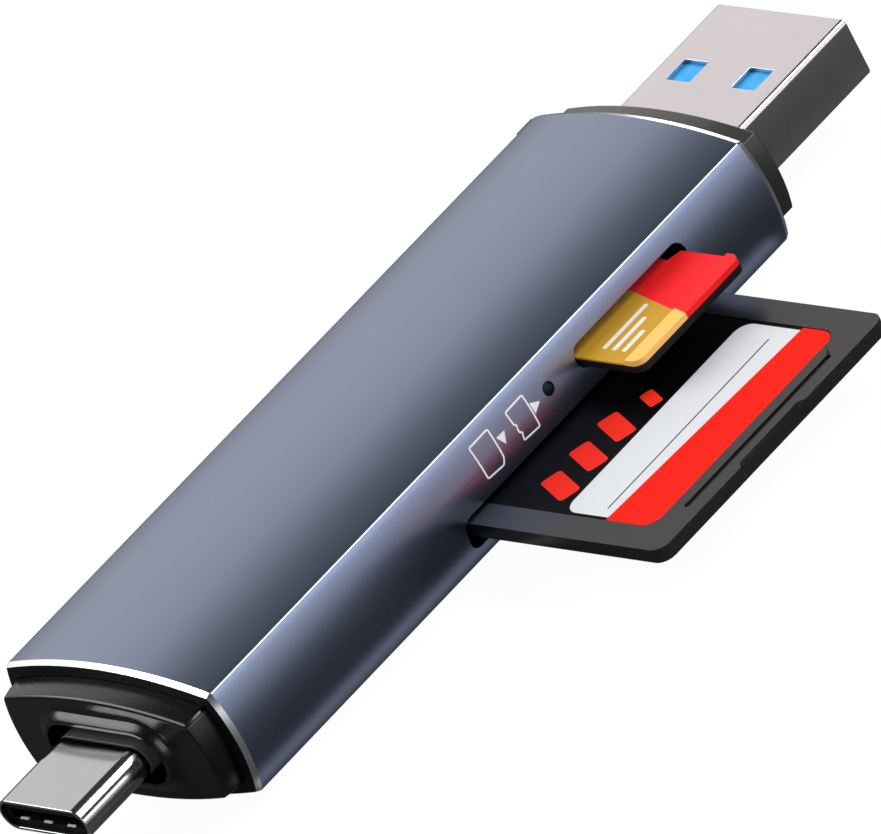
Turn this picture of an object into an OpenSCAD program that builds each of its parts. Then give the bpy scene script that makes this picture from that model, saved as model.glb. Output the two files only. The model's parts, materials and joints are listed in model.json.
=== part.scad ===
// USB memory card reader: an extruded tube with a plug at each end and two card slots in its side.
// X runs across the tube, and the cards come out towards +X. Y runs along it, towards the USB A plug.
// Z is up. The origin is on the USB A plug's axis, at the outer face of that plug's end insert.

/* [Housing] */
// Length of the extruded tube
body_length = 56.7; // [56:0.1:80]
// Distance between the left and right ridges
ridge_width = 19.1; // [19:0.1:22]
// Distance between the upper and lower ridges
ridge_height = 8.0; // [8:0.1:12]
// Rise of the top and bottom crowns above the ridges
crown_rise = 1.15; // [1.1:0.05:1.6]
// Rise of the side faces beyond the ridges
side_rise = 0.75; // [0.7:0.05:1.1]
// Radius on the ridges
ridge_radius = 0.3; // [0.25:0.05:0.6]
// Wall thickness of the tube
wall = 1.0; // [0.8:0.05:1.1]
// Length along the tube of the chamfer round each open end
chamfer_length = 0.4; // [0.1:0.05:0.6]
// Depth of that chamfer into the tube's wall
chamfer_depth = 0.18; // [0.1:0.01:0.22]
// Diameter of the round indicator hole
indicator_hole_d = 1.0; // [0.6:0.1:1.4]
// Distance from the end of the micro SD slot to the middle of the indicator hole
indicator_spacing = 2.7; // [2.3:0.1:6]
// Height of the indicator hole above the tube's axis
indicator_z = 1.85; // [1.5:0.05:2.2]

/* [End inserts] */
// How far each end insert stands out of the tube
insert_overhang = 1.9; // [1:0.1:3]
// How far each end insert reaches into the tube
insert_depth = 4.5; // [4:0.1:6]
// Bevel round the outer face of the USB A end insert
insert_a_bevel = 0.15; // [0.05:0.05:0.3]
// Radius on the ridges of the USB A end insert
insert_a_ridge = 0.25; // [0.2:0.05:0.5]
// Bevel round the outer face of the USB C end insert
insert_c_bevel = 0.25; // [0.1:0.05:0.3]
// Radius on the ridges of the USB C end insert
insert_c_ridge = 0.5; // [0.45:0.05:0.8]
// Length of the tapered band behind the bevel of the USB C end insert
taper_length = 0.7; // [0.4:0.05:0.9]
// How far that band narrows the insert all round
taper_depth = 0.12; // [0.05:0.01:0.15]
// Length of the locating lug along the tube
lug_length = 1.65; // [1:0.05:3]
// Height of the locating lug
lug_height = 7.2; // [3:0.1:7.3]
// How far the locating lug stands out beyond the left ridge
lug_reach = 0.85; // [0.8:0.05:1.5]
// Radius on the outer edges of the locating lug
lug_radius = 0.25; // [0.1:0.05:0.5]
// Distance from the tube's end to the locating lug
lug_setback = 0.1; // [0.05:0.05:1]
// How far the rim round the USB C plug stands out
rim_height = 0.6; // [0.3:0.1:1]
// Slope of the rim round the USB C plug, measured across it
rim_slope = 0.55; // [0.2:0.05:0.6]
// Flat land on top of the rim round the USB C plug
rim_land = 0.1; // [0.05:0.05:0.2]
// Gap above and below the USB C plug inside the recess
recess_gap = 0.8; // [0.4:0.1:1]
// Gap at each side of the USB C plug inside the recess
recess_side_gap = 1.125; // [0.6:0.025:1.3]
// Depth of the recess below the insert's outer face
recess_depth = 0.8; // [0.4:0.1:1.5]

/* [USB A plug] */
// Width of the USB A plug
usb_a_width = 12.0; // [11.9:0.05:12.1]
// Height of the USB A plug
usb_a_height = 4.5; // [4.4:0.05:4.6]
// Reach of the USB A plug beyond its insert
usb_a_reach = 12.3; // [11.8:0.1:13]
// Sheet thickness of the USB A shell
usb_a_sheet = 0.3; // [0.2:0.05:0.35]
// Outer corner radius of the USB A shell
usb_a_corner = 0.4; // [0.4:0.05:0.8]
// How far the USB A shell reaches into the housing
usb_a_tail = 6.5; // [6:0.1:8]
// Width of each window in the USB A shell
window_width = 2.2; // [1.5:0.1:2.5]
// Length of each window in the USB A shell
window_length = 2.1; // [1.5:0.1:2.5]
// Distance of each window from the plug's middle
window_x = 3.05; // [2.5:0.05:3.5]
// Distance of the windows from the insert's face
window_y = 5.7; // [5:0.1:7]
// Thickness of the USB A insulator's tongue
tongue_thickness = 1.9; // [1.7:0.05:2]
// Distance from the USB A shell's mouth to the tongue's tip
tongue_setback = 0.3; // [0.1:0.1:1]
// How far the block at the root of the tongue reaches beyond the insert's face
tongue_root = 1.0; // [0.5:0.1:1.5]
// Width of each flat USB A contact
flat_contact_width = 1.0; // [0.8:0.1:1.3]
// Distance between the two inner flat contacts
flat_contact_inner_pitch = 2.0; // [1.9:0.05:2.1]
// Distance from an inner flat contact to an outer one
flat_contact_outer_pitch = 2.5; // [2.4:0.05:2.6]
// Length of the flat contacts along the tongue
flat_contact_length = 5.9; // [5:0.1:6.2]
// Distance from the tongue's tip to the flat contacts
flat_contact_setback = 1.1; // [0.8:0.1:1.2]
// Width of each sprung USB A contact
sprung_contact_width = 0.7; // [0.5:0.05:0.9]
// Distance between the sprung USB A contacts
sprung_contact_pitch = 2.0; // [1.9:0.05:2.1]
// Length of the sprung contacts beyond the tongue's root
sprung_contact_length = 2.9; // [2.5:0.1:3.2]
// How far the sprung contacts bow out from the tongue
sprung_contact_bow = 0.4; // [0.2:0.05:0.5]
// Sheet thickness of the USB A contacts
usb_a_contact_sheet = 0.12; // [0.1:0.01:0.15]

/* [USB C plug] */
// Width of the USB C plug
usb_c_width = 8.25; // [8.2:0.05:8.3]
// Height of the USB C plug
usb_c_height = 2.4; // [2.35:0.05:2.45]
// Reach of the USB C plug beyond its insert
usb_c_reach = 7.2; // [6.8:0.1:8]
// Sheet thickness of the USB C shells
usb_c_sheet = 0.25; // [0.15:0.05:0.3]
// How far the dark rear shell stands out beyond the insert's face
rear_shell_reach = 0.7; // [0.65:0.05:1]
// Length of the rear shell
rear_shell_length = 4.0; // [3:0.1:4.2]
// Seam between the rear shell and the front shell
shell_seam = 0.1; // [0.05:0.05:0.2]
// Width of the tongue slot in the USB C insulator
usb_c_slot_width = 6.7; // [6.6:0.05:6.8]
// Height of the tongue slot in the USB C insulator
usb_c_slot_height = 0.8; // [0.75:0.05:0.9]
// Depth of the tongue slot in the USB C insulator
usb_c_slot_depth = 5.5; // [5:0.1:5.8]
// Distance from the USB C shell's mouth to the insulator's face
usb_c_setback = 0.3; // [0.1:0.1:0.5]
// Number of contacts in each row of the USB C plug
usb_c_contact_count = 12; // [8:2:12]
// Distance between the USB C contacts
usb_c_contact_pitch = 0.5; // [0.45:0.01:0.5]
// Width of each USB C contact
usb_c_contact_width = 0.28; // [0.2:0.01:0.3]
// Thickness of each USB C contact
usb_c_contact_sheet = 0.08; // [0.05:0.01:0.1]
// Length of each USB C contact along the slot
usb_c_contact_length = 3.8; // [3:0.1:4.2]
// Distance from the USB C shell's mouth to its contacts
usb_c_contact_setback = 1.2; // [1:0.1:1.3]
// Length of the USB C insulator's block behind the rear shell
usb_c_block_length = 2.0; // [1.5:0.1:2.3]
// Reach of the USB C contact tails beyond that block
usb_c_tail_reach = 0.6; // [0.3:0.1:0.7]

/* [Circuit board] */
// Thickness of the circuit board
board_thickness = 0.8; // [0.6:0.1:1]
// Gap between the circuit board's edge and the tube
board_gap = 0.5; // [0.4:0.05:0.8]
// Length of the board's shoulders inside each end insert
shoulder_length = 1.5; // [1:0.1:2]
// Wall between the USB A plug and the board's shoulders
shoulder_wall_a = 0.5; // [0.4:0.05:0.8]
// Wall between the USB C plug and the board's shoulders
shoulder_wall_c = 0.9; // [0.6:0.05:1.2]
// Length of the board's tongue inside the USB A shell
board_tongue = 2.0; // [1:0.1:2.2]
// Distance from the USB C end of the tube to the middle of the controller chip
controller_from_c = 18.0; // [12:0.5:20]
// Side of the square controller chip
controller_side = 7.0; // [5:0.5:9]
// Thickness of the controller chip
controller_thickness = 0.85; // [0.6:0.05:1]
// Number of leads on each side of the controller chip
lead_count = 12; // [8:1:12]
// Distance between the controller chip's leads
lead_pitch = 0.5; // [0.4:0.05:0.5]
// Width of each lead
lead_width = 0.22; // [0.15:0.01:0.25]
// Length of each lead
lead_length = 0.8; // [0.5:0.1:1]
// Thickness of each lead
lead_sheet = 0.2; // [0.15:0.01:0.25]
// Length of the crystal
crystal_length = 3.2; // [2.5:0.1:5]
// Width of the crystal
crystal_width = 2.5; // [2:0.1:3.2]
// Height of the crystal
crystal_height = 0.7; // [0.5:0.05:1]
// Length of the regulator
regulator_length = 3.0; // [2:0.1:3.2]
// Width of the regulator
regulator_width = 1.6; // [1.2:0.1:2]
// Height of the regulator
regulator_height = 1.0; // [0.8:0.05:1.1]
// Distance from the USB C end of the tube to the crystal and the regulator
crystal_from_c = 10.0; // [8:0.1:10.5]
// Length of each chip capacitor and resistor
chip_length = 1.0; // [0.6:0.1:1.2]
// Width of each chip capacitor and resistor
chip_width = 0.5; // [0.3:0.05:0.8]
// Height of each chip capacitor
capacitor_height = 0.5; // [0.3:0.05:0.8]
// Height of each chip resistor
resistor_height = 0.35; // [0.25:0.05:0.45]
// Number of chip capacitors, and of chip resistors
chip_count = 6; // [2:1:6]
// Distance between neighbouring capacitors or resistors in a row
chip_pitch = 2.0; // [1.5:0.1:2.2]
// Length of the indicator lamp along the board's edge
lamp_length = 3.0; // [2:0.1:3.2]
// Depth of the indicator lamp
lamp_depth = 1.1; // [0.8:0.05:1.3]
// Height of the indicator lamp
lamp_height = 1.9; // [1.8:0.05:2]
// Radius of the indicator lamp's lens
lens_radius = 0.4; // [0.3:0.05:0.45]
// How far the indicator lamp's lens stands out
lens_height = 0.1; // [0.05:0.05:0.15]
// Distance from the board's edge to the front of the indicator lamp
lamp_setback = 0.1; // [0.05:0.05:0.3]

/* [SD slot and socket] */
// Distance from the USB A end face to the middle of the SD card
sd_from_a = 23.25; // [23.2:0.05:28]
// Distance from the circuit board's left edge to the SD springs' tails
sd_edge_gap = 0.7; // [0.3:0.05:1.5]
// Clearance at each end of the SD card in the tube's slot
sd_slot_end_gap = 0.35; // [0.3:0.05:0.5]
// Corner radius of the SD slot in the tube
sd_slot_corner = 0.9; // [0.5:0.05:0.9]
// Clearance above and below the SD card in the tube's slot
sd_slot_gap = 0.25; // [0.15:0.05:0.3]
// Side rail of the SD socket's frame
sd_rail = 0.9; // [0.6:0.1:1]
// Floor thickness of the SD socket's frame
sd_floor = 0.3; // [0.2:0.05:0.35]
// Gap between the SD card and the socket's cover
sd_cover_gap = 0.15; // [0.1:0.05:0.2]
// Length of the SD socket's frame behind the card
sd_frame_back = 3.1; // [3:0.1:3.3]
// Length of the windows in the SD socket's cover
cover_window_length = 6.0; // [3:0.5:7]
// Width of the windows in the SD socket's cover
cover_window_width = 5.0; // [3:0.5:7]

/* [Micro SD slot and socket] */
// Distance from the USB A end face to the middle of the micro SD card
micro_from_a = 16.0; // [14:0.1:16]
// Height of the micro SD slot in the tube
micro_slot_height = 1.5; // [1.3:0.05:1.7]
// Clearance at each end of the micro SD slot
micro_slot_end_gap = 0.5; // [0.2:0.05:0.6]
// Clearance under the micro SD card in the tube's slot
micro_slot_gap = 0.15; // [0.1:0.05:0.25]
// Base thickness of the micro SD socket's frame
micro_base = 0.68; // [0.6:0.02:0.8]
// Side rail of the micro SD socket's frame
micro_rail = 0.6; // [0.4:0.1:0.8]
// Distance from the middle of the tube to the micro SD card's leading edge
micro_from_middle = 0.8; // [0:0.1:1]
// Length of the micro SD socket's frame behind the card
micro_frame_back = 1.2; // [0.8:0.1:1.4]
// Length of the window in the micro SD socket's cover
micro_window_length = 3.0; // [2:0.5:5]
// Width of the window in the micro SD socket's cover
micro_window_width = 4.0; // [3:0.5:6]

/* [Contact springs] */
// Length of the solder tail of each SD spring
sd_tail_length = 0.8; // [0.4:0.05:0.8]
// Distance from the SD card's leading edge back to the bend where its springs rise
sd_bend_back = 1.2; // [0.8:0.1:1.5]
// Distance from the start of an SD pad to the point where its spring touches
sd_touch = 1.4; // [1:0.1:2]
// Length of the turned-down tip of each SD spring
sd_tip_length = 0.5; // [0.3:0.1:0.8]
// Drop of the turned-down tip of each SD spring
sd_tip_drop = 0.25; // [0.1:0.05:0.3]
// Length of the solder tail of each micro SD spring
micro_tail_length = 0.9; // [0.5:0.1:1.2]
// Length of the slope at the root of each micro SD spring
micro_root_slope = 0.35; // [0.2:0.05:0.5]
// Distance from the micro SD card's leading edge to the bend where its springs rise
micro_bend_in = 0.3; // [0.1:0.1:0.6]
// Distance from the start of a micro SD pad to the point where its spring touches
micro_touch = 1.5; // [1:0.1:1.9]
// Length of the turned-down tip of each micro SD spring
micro_tip_length = 0.4; // [0.2:0.1:0.6]
// Drop of the turned-down tip of each micro SD spring
micro_tip_drop = 0.1; // [0.05:0.05:0.15]
// Gap between a spring's tip and the end of its slot in the socket's frame
spring_end_gap = 0.5; // [0.3:0.1:0.8]

/* [SD card] */
// Width of the SD card
sd_width = 24.0; // [23.9:0.05:24.1]
// Length of the SD card
sd_length = 32.0; // [31.9:0.05:32.1]
// Thickness of the SD card
sd_thickness = 2.1; // [2:0.05:2.15]
// Thickness of the SD card's rim
sd_rim = 1.05; // [1:0.05:1.1]
// Side of the cut corner at the leading edge
sd_cut = 4.0; // [3.8:0.1:4.2]
// Radius on the SD card's trailing corners
sd_corner = 1.0; // [0.5:0.1:1.5]
// How far the lower shell is set in at its sides
sd_side_step = 1.0; // [0.7:0.05:1.1]
// How far the lower shell is set in at its trailing edge
sd_back_step = 1.5; // [1:0.1:2]
// Length of the finger notch in the trailing edge
finger_length = 6.9; // [5:0.1:9]
// Depth of the finger notch in the trailing edge
finger_depth = 0.45; // [0.3:0.05:0.8]
// Length of the groove on the SD card's top
groove_length = 15.4; // [10:0.1:18]
// Width of the groove on the SD card's top
groove_width = 0.45; // [0.3:0.05:0.8]
// Distance from the trailing edge to the groove
groove_inset = 1.4; // [1:0.05:1.8]
// Depth of the groove on the SD card's top
groove_depth = 0.25; // [0.1:0.05:0.3]
// Distance from the trailing edge to the label
label_inset = 2.55; // [2.2:0.05:4]
// Distance from the leading edge to the label
label_lead = 6.0; // [5:0.5:10]
// Distance from the SD card's long edges to the label
label_margin = 2.1; // [2:0.1:3]
// Radius on the label's corners
label_corner = 1.2; // [0.5:0.1:1.5]
// Depth of the label's recess
label_recess = 0.15; // [0.1:0.05:0.2]
// Thickness of the label
label_sheet = 0.1; // [0.05:0.05:0.15]
// Distance from the SD card's leading edge to the write protect notch
notch_from_lead = 7.0; // [6:0.1:8]
// Depth of the write protect notch
notch_depth = 1.0; // [0.8:0.05:1.1]
// Length of the write protect slider
slider_length = 3.8; // [3:0.1:4.2]
// Travel of the write protect slider
slider_travel = 2.2; // [1.5:0.1:2.4]
// Length of each contact pad of the SD card
sd_pad_length = 3.6; // [3:0.1:4]
// Distance from the SD card's leading edge to its contact pads
sd_pad_setback = 0.8; // [0.6:0.1:1]
// How far the last contact pad lies behind the others
last_pad_setback = 2.6; // [2:0.1:2.8]
// Length of each window in the SD card's lower shell
sd_window_length = 5.0; // [4.8:0.1:5.5]
// Depth of each window in the SD card's lower shell
sd_window_depth = 0.75; // [0.6:0.05:0.75]
// Distance from the SD card's leading edge to its memory
memory_from_lead = 8.0; // [6:0.5:10]
// Length of the SD card's memory
memory_length = 14.0; // [10:0.5:16]
// Width of the SD card's memory
memory_width = 12.0; // [10:0.5:15]
// Thickness of the SD card's memory
memory_thickness = 0.5; // [0.4:0.05:0.55]

/* [Micro SD card] */
// Width of the micro SD card
micro_width = 11.0; // [10.9:0.05:11.1]
// Length of the micro SD card
micro_length = 15.0; // [14.9:0.05:15.1]
// Thickness of the micro SD card
micro_thickness = 0.7; // [0.65:0.05:0.75]
// How much narrower the micro SD card's leading part is
micro_step = 1.3; // [1.2:0.05:1.4]
// Length of the micro SD card's narrow leading part
micro_step_length = 6.3; // [6:0.1:6.5]
// Length of the slopes on the micro SD card's stepped side
micro_slope = 0.7; // [0.5:0.05:0.8]
// Length of the shelf between the step and the catch notch
micro_shelf = 0.9; // [0.7:0.05:1]
// Length of the floor of the catch notch
micro_notch = 0.7; // [0.5:0.05:0.8]
// Bevel on the micro SD card's leading corner
micro_lead_bevel = 0.6; // [0.3:0.1:1]
// Height of the raised lip on the micro SD card
micro_lip = 0.3; // [0.2:0.05:0.35]
// Width of the raised lip on the micro SD card
micro_lip_width = 1.3; // [0.8:0.1:1.8]
// Length of each contact pad of the micro SD card
micro_pad_length = 2.9; // [2.5:0.1:3.2]
// Distance from the micro SD card's leading edge to its contact pads
micro_pad_setback = 0.7; // [0.5:0.1:1]
// Radius on the micro SD card's trailing corners
micro_corner = 0.8; // [0.5:0.1:1]

/* [Fits] */
// Clearance between parts that are pushed together
fit = 0.05; // [0.03:0.01:0.08]
// Clearance between a card and its socket's rails
card_side_gap = 0.15; // [0.1:0.05:0.2]
// Clearance between a card and the socket's floor, and between springs and pads
card_gap = 0.05; // [0.03:0.01:0.08]
// Smallest gap between a socket and the tube
socket_gap = 0.1; // [0.05:0.05:0.2]
// Gap between a card's leading edge and its socket's frame
stop_gap = 0.3; // [0.2:0.05:0.4]
// Sheet thickness of the sockets' covers
cover_sheet = 0.15; // [0.1:0.01:0.2]
// Sheet thickness of the sockets' contact springs
spring_sheet = 0.13; // [0.1:0.01:0.15]
// Thickness of the cards' contact pads
pad_sheet = 0.05; // [0.03:0.01:0.05]

/* [Hidden] */
$fn = 32;
big_fn = 180;

// The tube's section: four arcs that meet at the ridges
crown_r = (pow(ridge_width / 2, 2) + pow(crown_rise, 2)) / (2 * crown_rise);
side_r = (pow(ridge_height / 2, 2) + pow(side_rise, 2)) / (2 * side_rise);
crown_z = ridge_height / 2 + crown_rise - crown_r;
side_x = ridge_width / 2 + side_rise - side_r;
half_width = ridge_width / 2 + side_rise;
half_height = ridge_height / 2 + crown_rise;

// Half width of the space inside the tube, where the side walls and where the crowns limit it
function side_limit(z) = side_x + sqrt(pow(side_r - wall, 2) - z * z);
function crown_limit(z) = sqrt(pow(crown_r - wall, 2) - pow(z - crown_z, 2));

// Stations along Y
tube_y1 = -insert_overhang;
tube_y0 = tube_y1 - body_length;
face_c = tube_y0 - insert_overhang;
insert_a_y0 = tube_y1 - insert_depth;
insert_c_y1 = tube_y0 + insert_depth;
tip_c = face_c - usb_c_reach;
rear_shell_y0 = face_c - rear_shell_reach;
rear_shell_y1 = rear_shell_y0 + rear_shell_length;
sd_y = -sd_from_a;
micro_y = -micro_from_a;

// Circuit board
board_z1 = board_thickness / 2;
board_z0 = -board_z1;
board_half = side_limit(board_z1) - board_gap;
board_y1 = -usb_a_tail - 2 * fit;
board_y0 = insert_c_y1 + 2 * fit;
shoulder_a_x = usb_a_width / 2 + shoulder_wall_a;
shoulder_c_x = usb_c_width / 2 + shoulder_wall_c;
shoulder_a_y = insert_a_y0 + shoulder_length;
shoulder_c_y = insert_c_y1 - shoulder_length;
neck_a_y = board_y1 + board_tongue;
neck_c_y = rear_shell_y1 + usb_c_block_length / 2;
neck_c_half = usb_c_width / 2 - usb_c_sheet;

// SD card and socket, below the board
sd_spring_rear = -board_half + sd_edge_gap + sd_tail_length;
sd_frame_x0 = sd_spring_rear + spring_sheet / 2 + 4 * fit;
sd_x0 = sd_frame_x0 + sd_frame_back;
sd_x1 = sd_x0 + sd_length;
sd_z1 = board_z0 - cover_sheet - sd_cover_gap;
sd_z0 = sd_z1 - sd_thickness;
sd_split = sd_z1 - sd_rim;
sd_z = (sd_z0 + sd_z1) / 2;
sd_floor_z1 = sd_z0 - card_gap;
sd_floor_z0 = sd_floor_z1 - sd_floor;
sd_cover_z0 = board_z0 - cover_sheet;
sd_inner_half = sd_width / 2 + card_side_gap;
sd_frame_half = sd_inner_half + sd_rail;
sd_frame_x1 = crown_limit(socket_gap - sd_floor_z0);
sd_stop_x = sd_x0 - stop_gap;
sd_pad_count = 9;
sd_pitch = sd_width / (sd_pad_count + 0.6);
sd_pad_width = 0.68 * sd_pitch;
sd_window_width = 0.76 * sd_pitch;
sd_spring_width = 0.4 * sd_pitch;
sd_spring_slot = 0.48 * sd_pitch;
sd_board_z0 = sd_z0 + sd_window_depth;
sd_board_z1 = sd_split;
sd_roof = sd_rim - memory_thickness - 2 * fit;
card_wall = 1.8;

// Write protect slider, in a notch in the side of the upper shell
notch_x0 = sd_x0 + notch_from_lead;
slider_gap = 2 * fit;
notch_length = slider_length + slider_travel + 2 * slider_gap;
slider_x0 = notch_x0 + slider_gap;
slider_key = 0.4 * notch_depth;
slider_z = (sd_z1 + sd_split) / 2;
sd_side_y = sd_y - sd_width / 2;

// Micro SD card and socket, above the board
micro_x0 = micro_from_middle;
micro_x1 = micro_x0 + micro_length;
micro_base_z1 = board_z1 + micro_base;
micro_z0 = micro_base_z1 + card_gap;
micro_z1 = micro_z0 + micro_thickness;
micro_cover_z0 = micro_z1 + card_gap;
micro_cover_z1 = micro_cover_z0 + cover_sheet;
micro_inner_half = micro_width / 2 + card_side_gap;
micro_frame_half = micro_inner_half + micro_rail;
micro_frame_x0 = micro_x0 - micro_frame_back;
micro_frame_x1 = side_limit(micro_cover_z1) - socket_gap;
micro_stop_x = micro_x0 - stop_gap;
micro_slot_z = micro_z0 - micro_slot_gap + micro_slot_height / 2;
micro_pad_count = 8;
micro_pitch = micro_width / 10;
micro_pad_width = 0.73 * micro_pitch;
micro_spring_width = 0.55 * micro_pitch;
micro_spring_slot = 0.7 * micro_pitch;
micro_side_y = micro_y - micro_width / 2;
micro_lead_width = micro_width - micro_step;
micro_pad_middle = micro_side_y + micro_lead_width / 2;

// Indicator, beside the micro SD slot
indicator_y = micro_y - micro_width / 2 - micro_slot_end_gap - indicator_spacing;

// USB A plug
usb_a_bore_width = usb_a_width - 2 * usb_a_sheet;
usb_a_bore_height = usb_a_height - 2 * usb_a_sheet;
usb_a_bore_corner = usb_a_corner - usb_a_sheet;
block_a_y0 = neck_a_y + 2 * fit;
tongue_z1 = usb_a_bore_height / 2 - fit;
tongue_z0 = tongue_z1 - tongue_thickness;
tongue_y1 = usb_a_reach - tongue_setback;
flat_contact_inner = flat_contact_inner_pitch / 2;
flat_contact_outer = flat_contact_inner + flat_contact_outer_pitch;
flat_contact_places = [-flat_contact_outer, -flat_contact_inner, flat_contact_inner, flat_contact_outer];

// USB C plug
usb_c_bore_width = usb_c_width - 2 * usb_c_sheet;
usb_c_bore_height = usb_c_height - 2 * usb_c_sheet;
block_c_y1 = rear_shell_y1 + usb_c_block_length;
block_c_half = neck_c_half - 4 * fit;
recess_width = usb_c_width + 2 * recess_side_gap;
recess_height = usb_c_height + 2 * recess_gap;

// Locating lug on the USB A insert, and the notch for it in the tube
lug_y1 = tube_y1 - lug_setback;
lug_y0 = lug_y1 - lug_length;
lug_x0 = -ridge_width / 2 - lug_reach;
lug_x1 = -ridge_width / 2 + wall + 0.4;

// Extrudes a drawing in X and Z along the tube, from y0 to y1
module along_y(y0, y1) {
    translate([0, y1, 0])
        rotate([90, 0, 0])
            linear_extrude(y1 - y0)
                children();
}

// Extrudes a drawing in Y and Z across the tube, from x0 to x1
module along_x(x0, x1) {
    translate([x0, 0, 0])
        rotate([90, 0, 90])
            linear_extrude(x1 - x0)
                children();
}

// Extrudes a drawing in X and Y upwards, from z0 to z1
module along_z(z0, z1) {
    translate([0, 0, z0])
        linear_extrude(z1 - z0)
            children();
}

// A box given by two opposite corners
module span(a, b) {
    low = [for (i = [0 : 2]) min(a[i], b[i])];
    high = [for (i = [0 : 2]) max(a[i], b[i])];
    translate(low)
        cube(high - low);
}

module stadium(width, height) {
    square([width - height, height], center = true);
    for (side = [-1, 1])
        translate([side * (width - height) / 2, 0])
            circle(d = height);
}

module rounded_rectangle(width, height, radius) {
    square([width - 2 * radius, height], center = true);
    square([width, height - 2 * radius], center = true);
    for (sx = [-1, 1], sy = [-1, 1])
        translate([sx * (width / 2 - radius), sy * (height / 2 - radius)])
            circle(r = radius);
}

// A strip of even thickness along a line of points, for bent springs
function unit(v) = v / norm(v);
function turn(v) = [-v.y, v.x];
function strip_normal(points, i) =
    let (last = len(points) - 1,
         before = i > 0 ? unit(points[i] - points[i - 1]) : unit(points[1] - points[0]),
         after = i < last ? unit(points[i + 1] - points[i]) : before,
         middle = unit(turn(before) + turn(after)))
    middle / (middle * turn(before));

module strip(points, sheet) {
    upper = [for (i = [0 : len(points) - 1]) points[i] + strip_normal(points, i) * sheet / 2];
    lower = [for (i = [len(points) - 1 : -1 : 0]) points[i] - strip_normal(points, i) * sheet / 2];
    polygon(concat(upper, lower));
}

// The edge at a bar's end, as pairs: how far it is set in, and how far behind the end face
plain_edge = [[0, 0]];
function bevel_edge(bevel) = [[bevel, 0], [0, bevel]];
function tapered_edge(bevel, depth, length) = [[depth + bevel, 0], [depth, bevel], [0, bevel + length]];

// A round bar along Y, with its own edge at each end
function bar_outline(r, length, edge0, edge1) = concat(
    [[0, 0]],
    [for (p = edge0) [r - p.x, p.y]],
    [for (i = [len(edge1) - 1 : -1 : 0]) [r - edge1[i].x, length - edge1[i].y]],
    [[0, length]]);

module bar(r, y0, y1, edge0, edge1) {
    translate([0, y0, 0])
        rotate([-90, 0, 0])
            rotate_extrude($fn = r > side_r / 2 ? big_fn : $fn)
                polygon(bar_outline(r, y1 - y0, edge0, edge1));
}

// The curved side towards +X, with a block behind it where the body is wider than the curve
module side_bar(inset, y0, y1, edge0, edge1) {
    translate([side_x, 0, 0])
        bar(side_r - inset, y0, y1, edge0, edge1);
    if (side_x > 0)
        span([-half_width, y0, -half_height], [side_x, y1, half_height]);
}

// The tube's section, set in all round by inset, with sharp ridges
module pillow(inset, y0, y1, edge0 = plain_edge, edge1 = plain_edge) {
    intersection() {
        translate([0, 0, crown_z])
            bar(crown_r - inset, y0, y1, edge0, edge1);
        translate([0, 0, -crown_z])
            bar(crown_r - inset, y0, y1, edge0, edge1);
        side_bar(inset, y0, y1, edge0, edge1);
        mirror([1, 0, 0])
            side_bar(inset, y0, y1, edge0, edge1);
    }
}

// Centre, in X and Z, of the circle that rounds the ridge between two of the section's arcs
function ridge_centre(inset, r) =
    let (r1 = crown_r - inset - r,
         r2 = side_r - inset - r,
         apart = norm([side_x, crown_z]),
         along = (r1 * r1 - r2 * r2 + apart * apart) / (2 * apart),
         off = sqrt(r1 * r1 - along * along),
         to_side = [side_x, -crown_z] / apart,
         first = [0, crown_z] + along * to_side + off * turn(to_side),
         second = [0, crown_z] + along * to_side - off * turn(to_side))
    first.x > 0 ? first : second;

// What the rounding takes away at the upper right ridge
module ridge_waste(inset, r, y0, y1, edge0, edge1) {
    centre = ridge_centre(inset, r);
    up = unit(centre - [0, crown_z]);
    out = unit(centre - [side_x, 0]);
    reach = 3 * r + 1;
    difference() {
        along_y(y0 - 1, y1 + 1)
            polygon([centre, centre + reach * out, centre + reach * (up + out), centre + reach * up]);
        translate([centre.x, 0, centre.y])
            bar(r, y0, y1, edge0, edge1);
    }
}

module rounded_pillow(inset, r, y0, y1, edge0 = plain_edge, edge1 = plain_edge) {
    difference() {
        pillow(inset, y0, y1, edge0, edge1);
        for (flip_x = [0, 1], flip_z = [0, 1])
            mirror([flip_x, 0, 0])
                mirror([0, 0, flip_z])
                    ridge_waste(inset, r, y0, y1, edge0, edge1);
    }
}

module housing_tube() {
    end_edge = [[chamfer_depth, 0], [0, chamfer_length]];
    color("lightslategray")
        difference() {
            rounded_pillow(0, ridge_radius, tube_y0, tube_y1, end_edge, end_edge);
            pillow(wall, tube_y0 - 1, tube_y1 + 1);
            along_x(half_width / 2, half_width + 1)
                side_openings();
            span([lug_x0 - 1, lug_y0 - fit, -lug_height / 2 - fit],
                [lug_x1 + fit, tube_y1 + 1, lug_height / 2 + fit]);
        }
}

// The two card slots and the indicator hole, drawn on the tube's side
module side_openings() {
    translate([sd_y, sd_z])
        rounded_rectangle(sd_width + 2 * sd_slot_end_gap, sd_thickness + 2 * sd_slot_gap, sd_slot_corner);
    translate([micro_y, micro_slot_z])
        stadium(micro_width + 2 * micro_slot_end_gap, micro_slot_height);
    translate([indicator_y, indicator_z])
        circle(d = indicator_hole_d);
}

// Slots that hold the two shoulders at one end of the circuit board
module board_slots(shoulder_x, y0, y1) {
    for (side = [-1, 1])
        span([side * (shoulder_x - 2 * fit), y0, board_z0 - fit],
            [side * (board_half + fit), y1, board_z1 + fit]);
}

module locating_lug() {
    middle_x = (lug_x0 + lug_x1) / 2;
    intersection() {
        along_y(lug_y0, lug_y1)
            translate([middle_x, 0])
                rounded_rectangle(lug_x1 - lug_x0, lug_height, lug_radius);
        along_z(-lug_height, lug_height)
            translate([middle_x, (lug_y0 + lug_y1) / 2])
                rounded_rectangle(lug_x1 - lug_x0, lug_length, lug_radius);
    }
}

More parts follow.
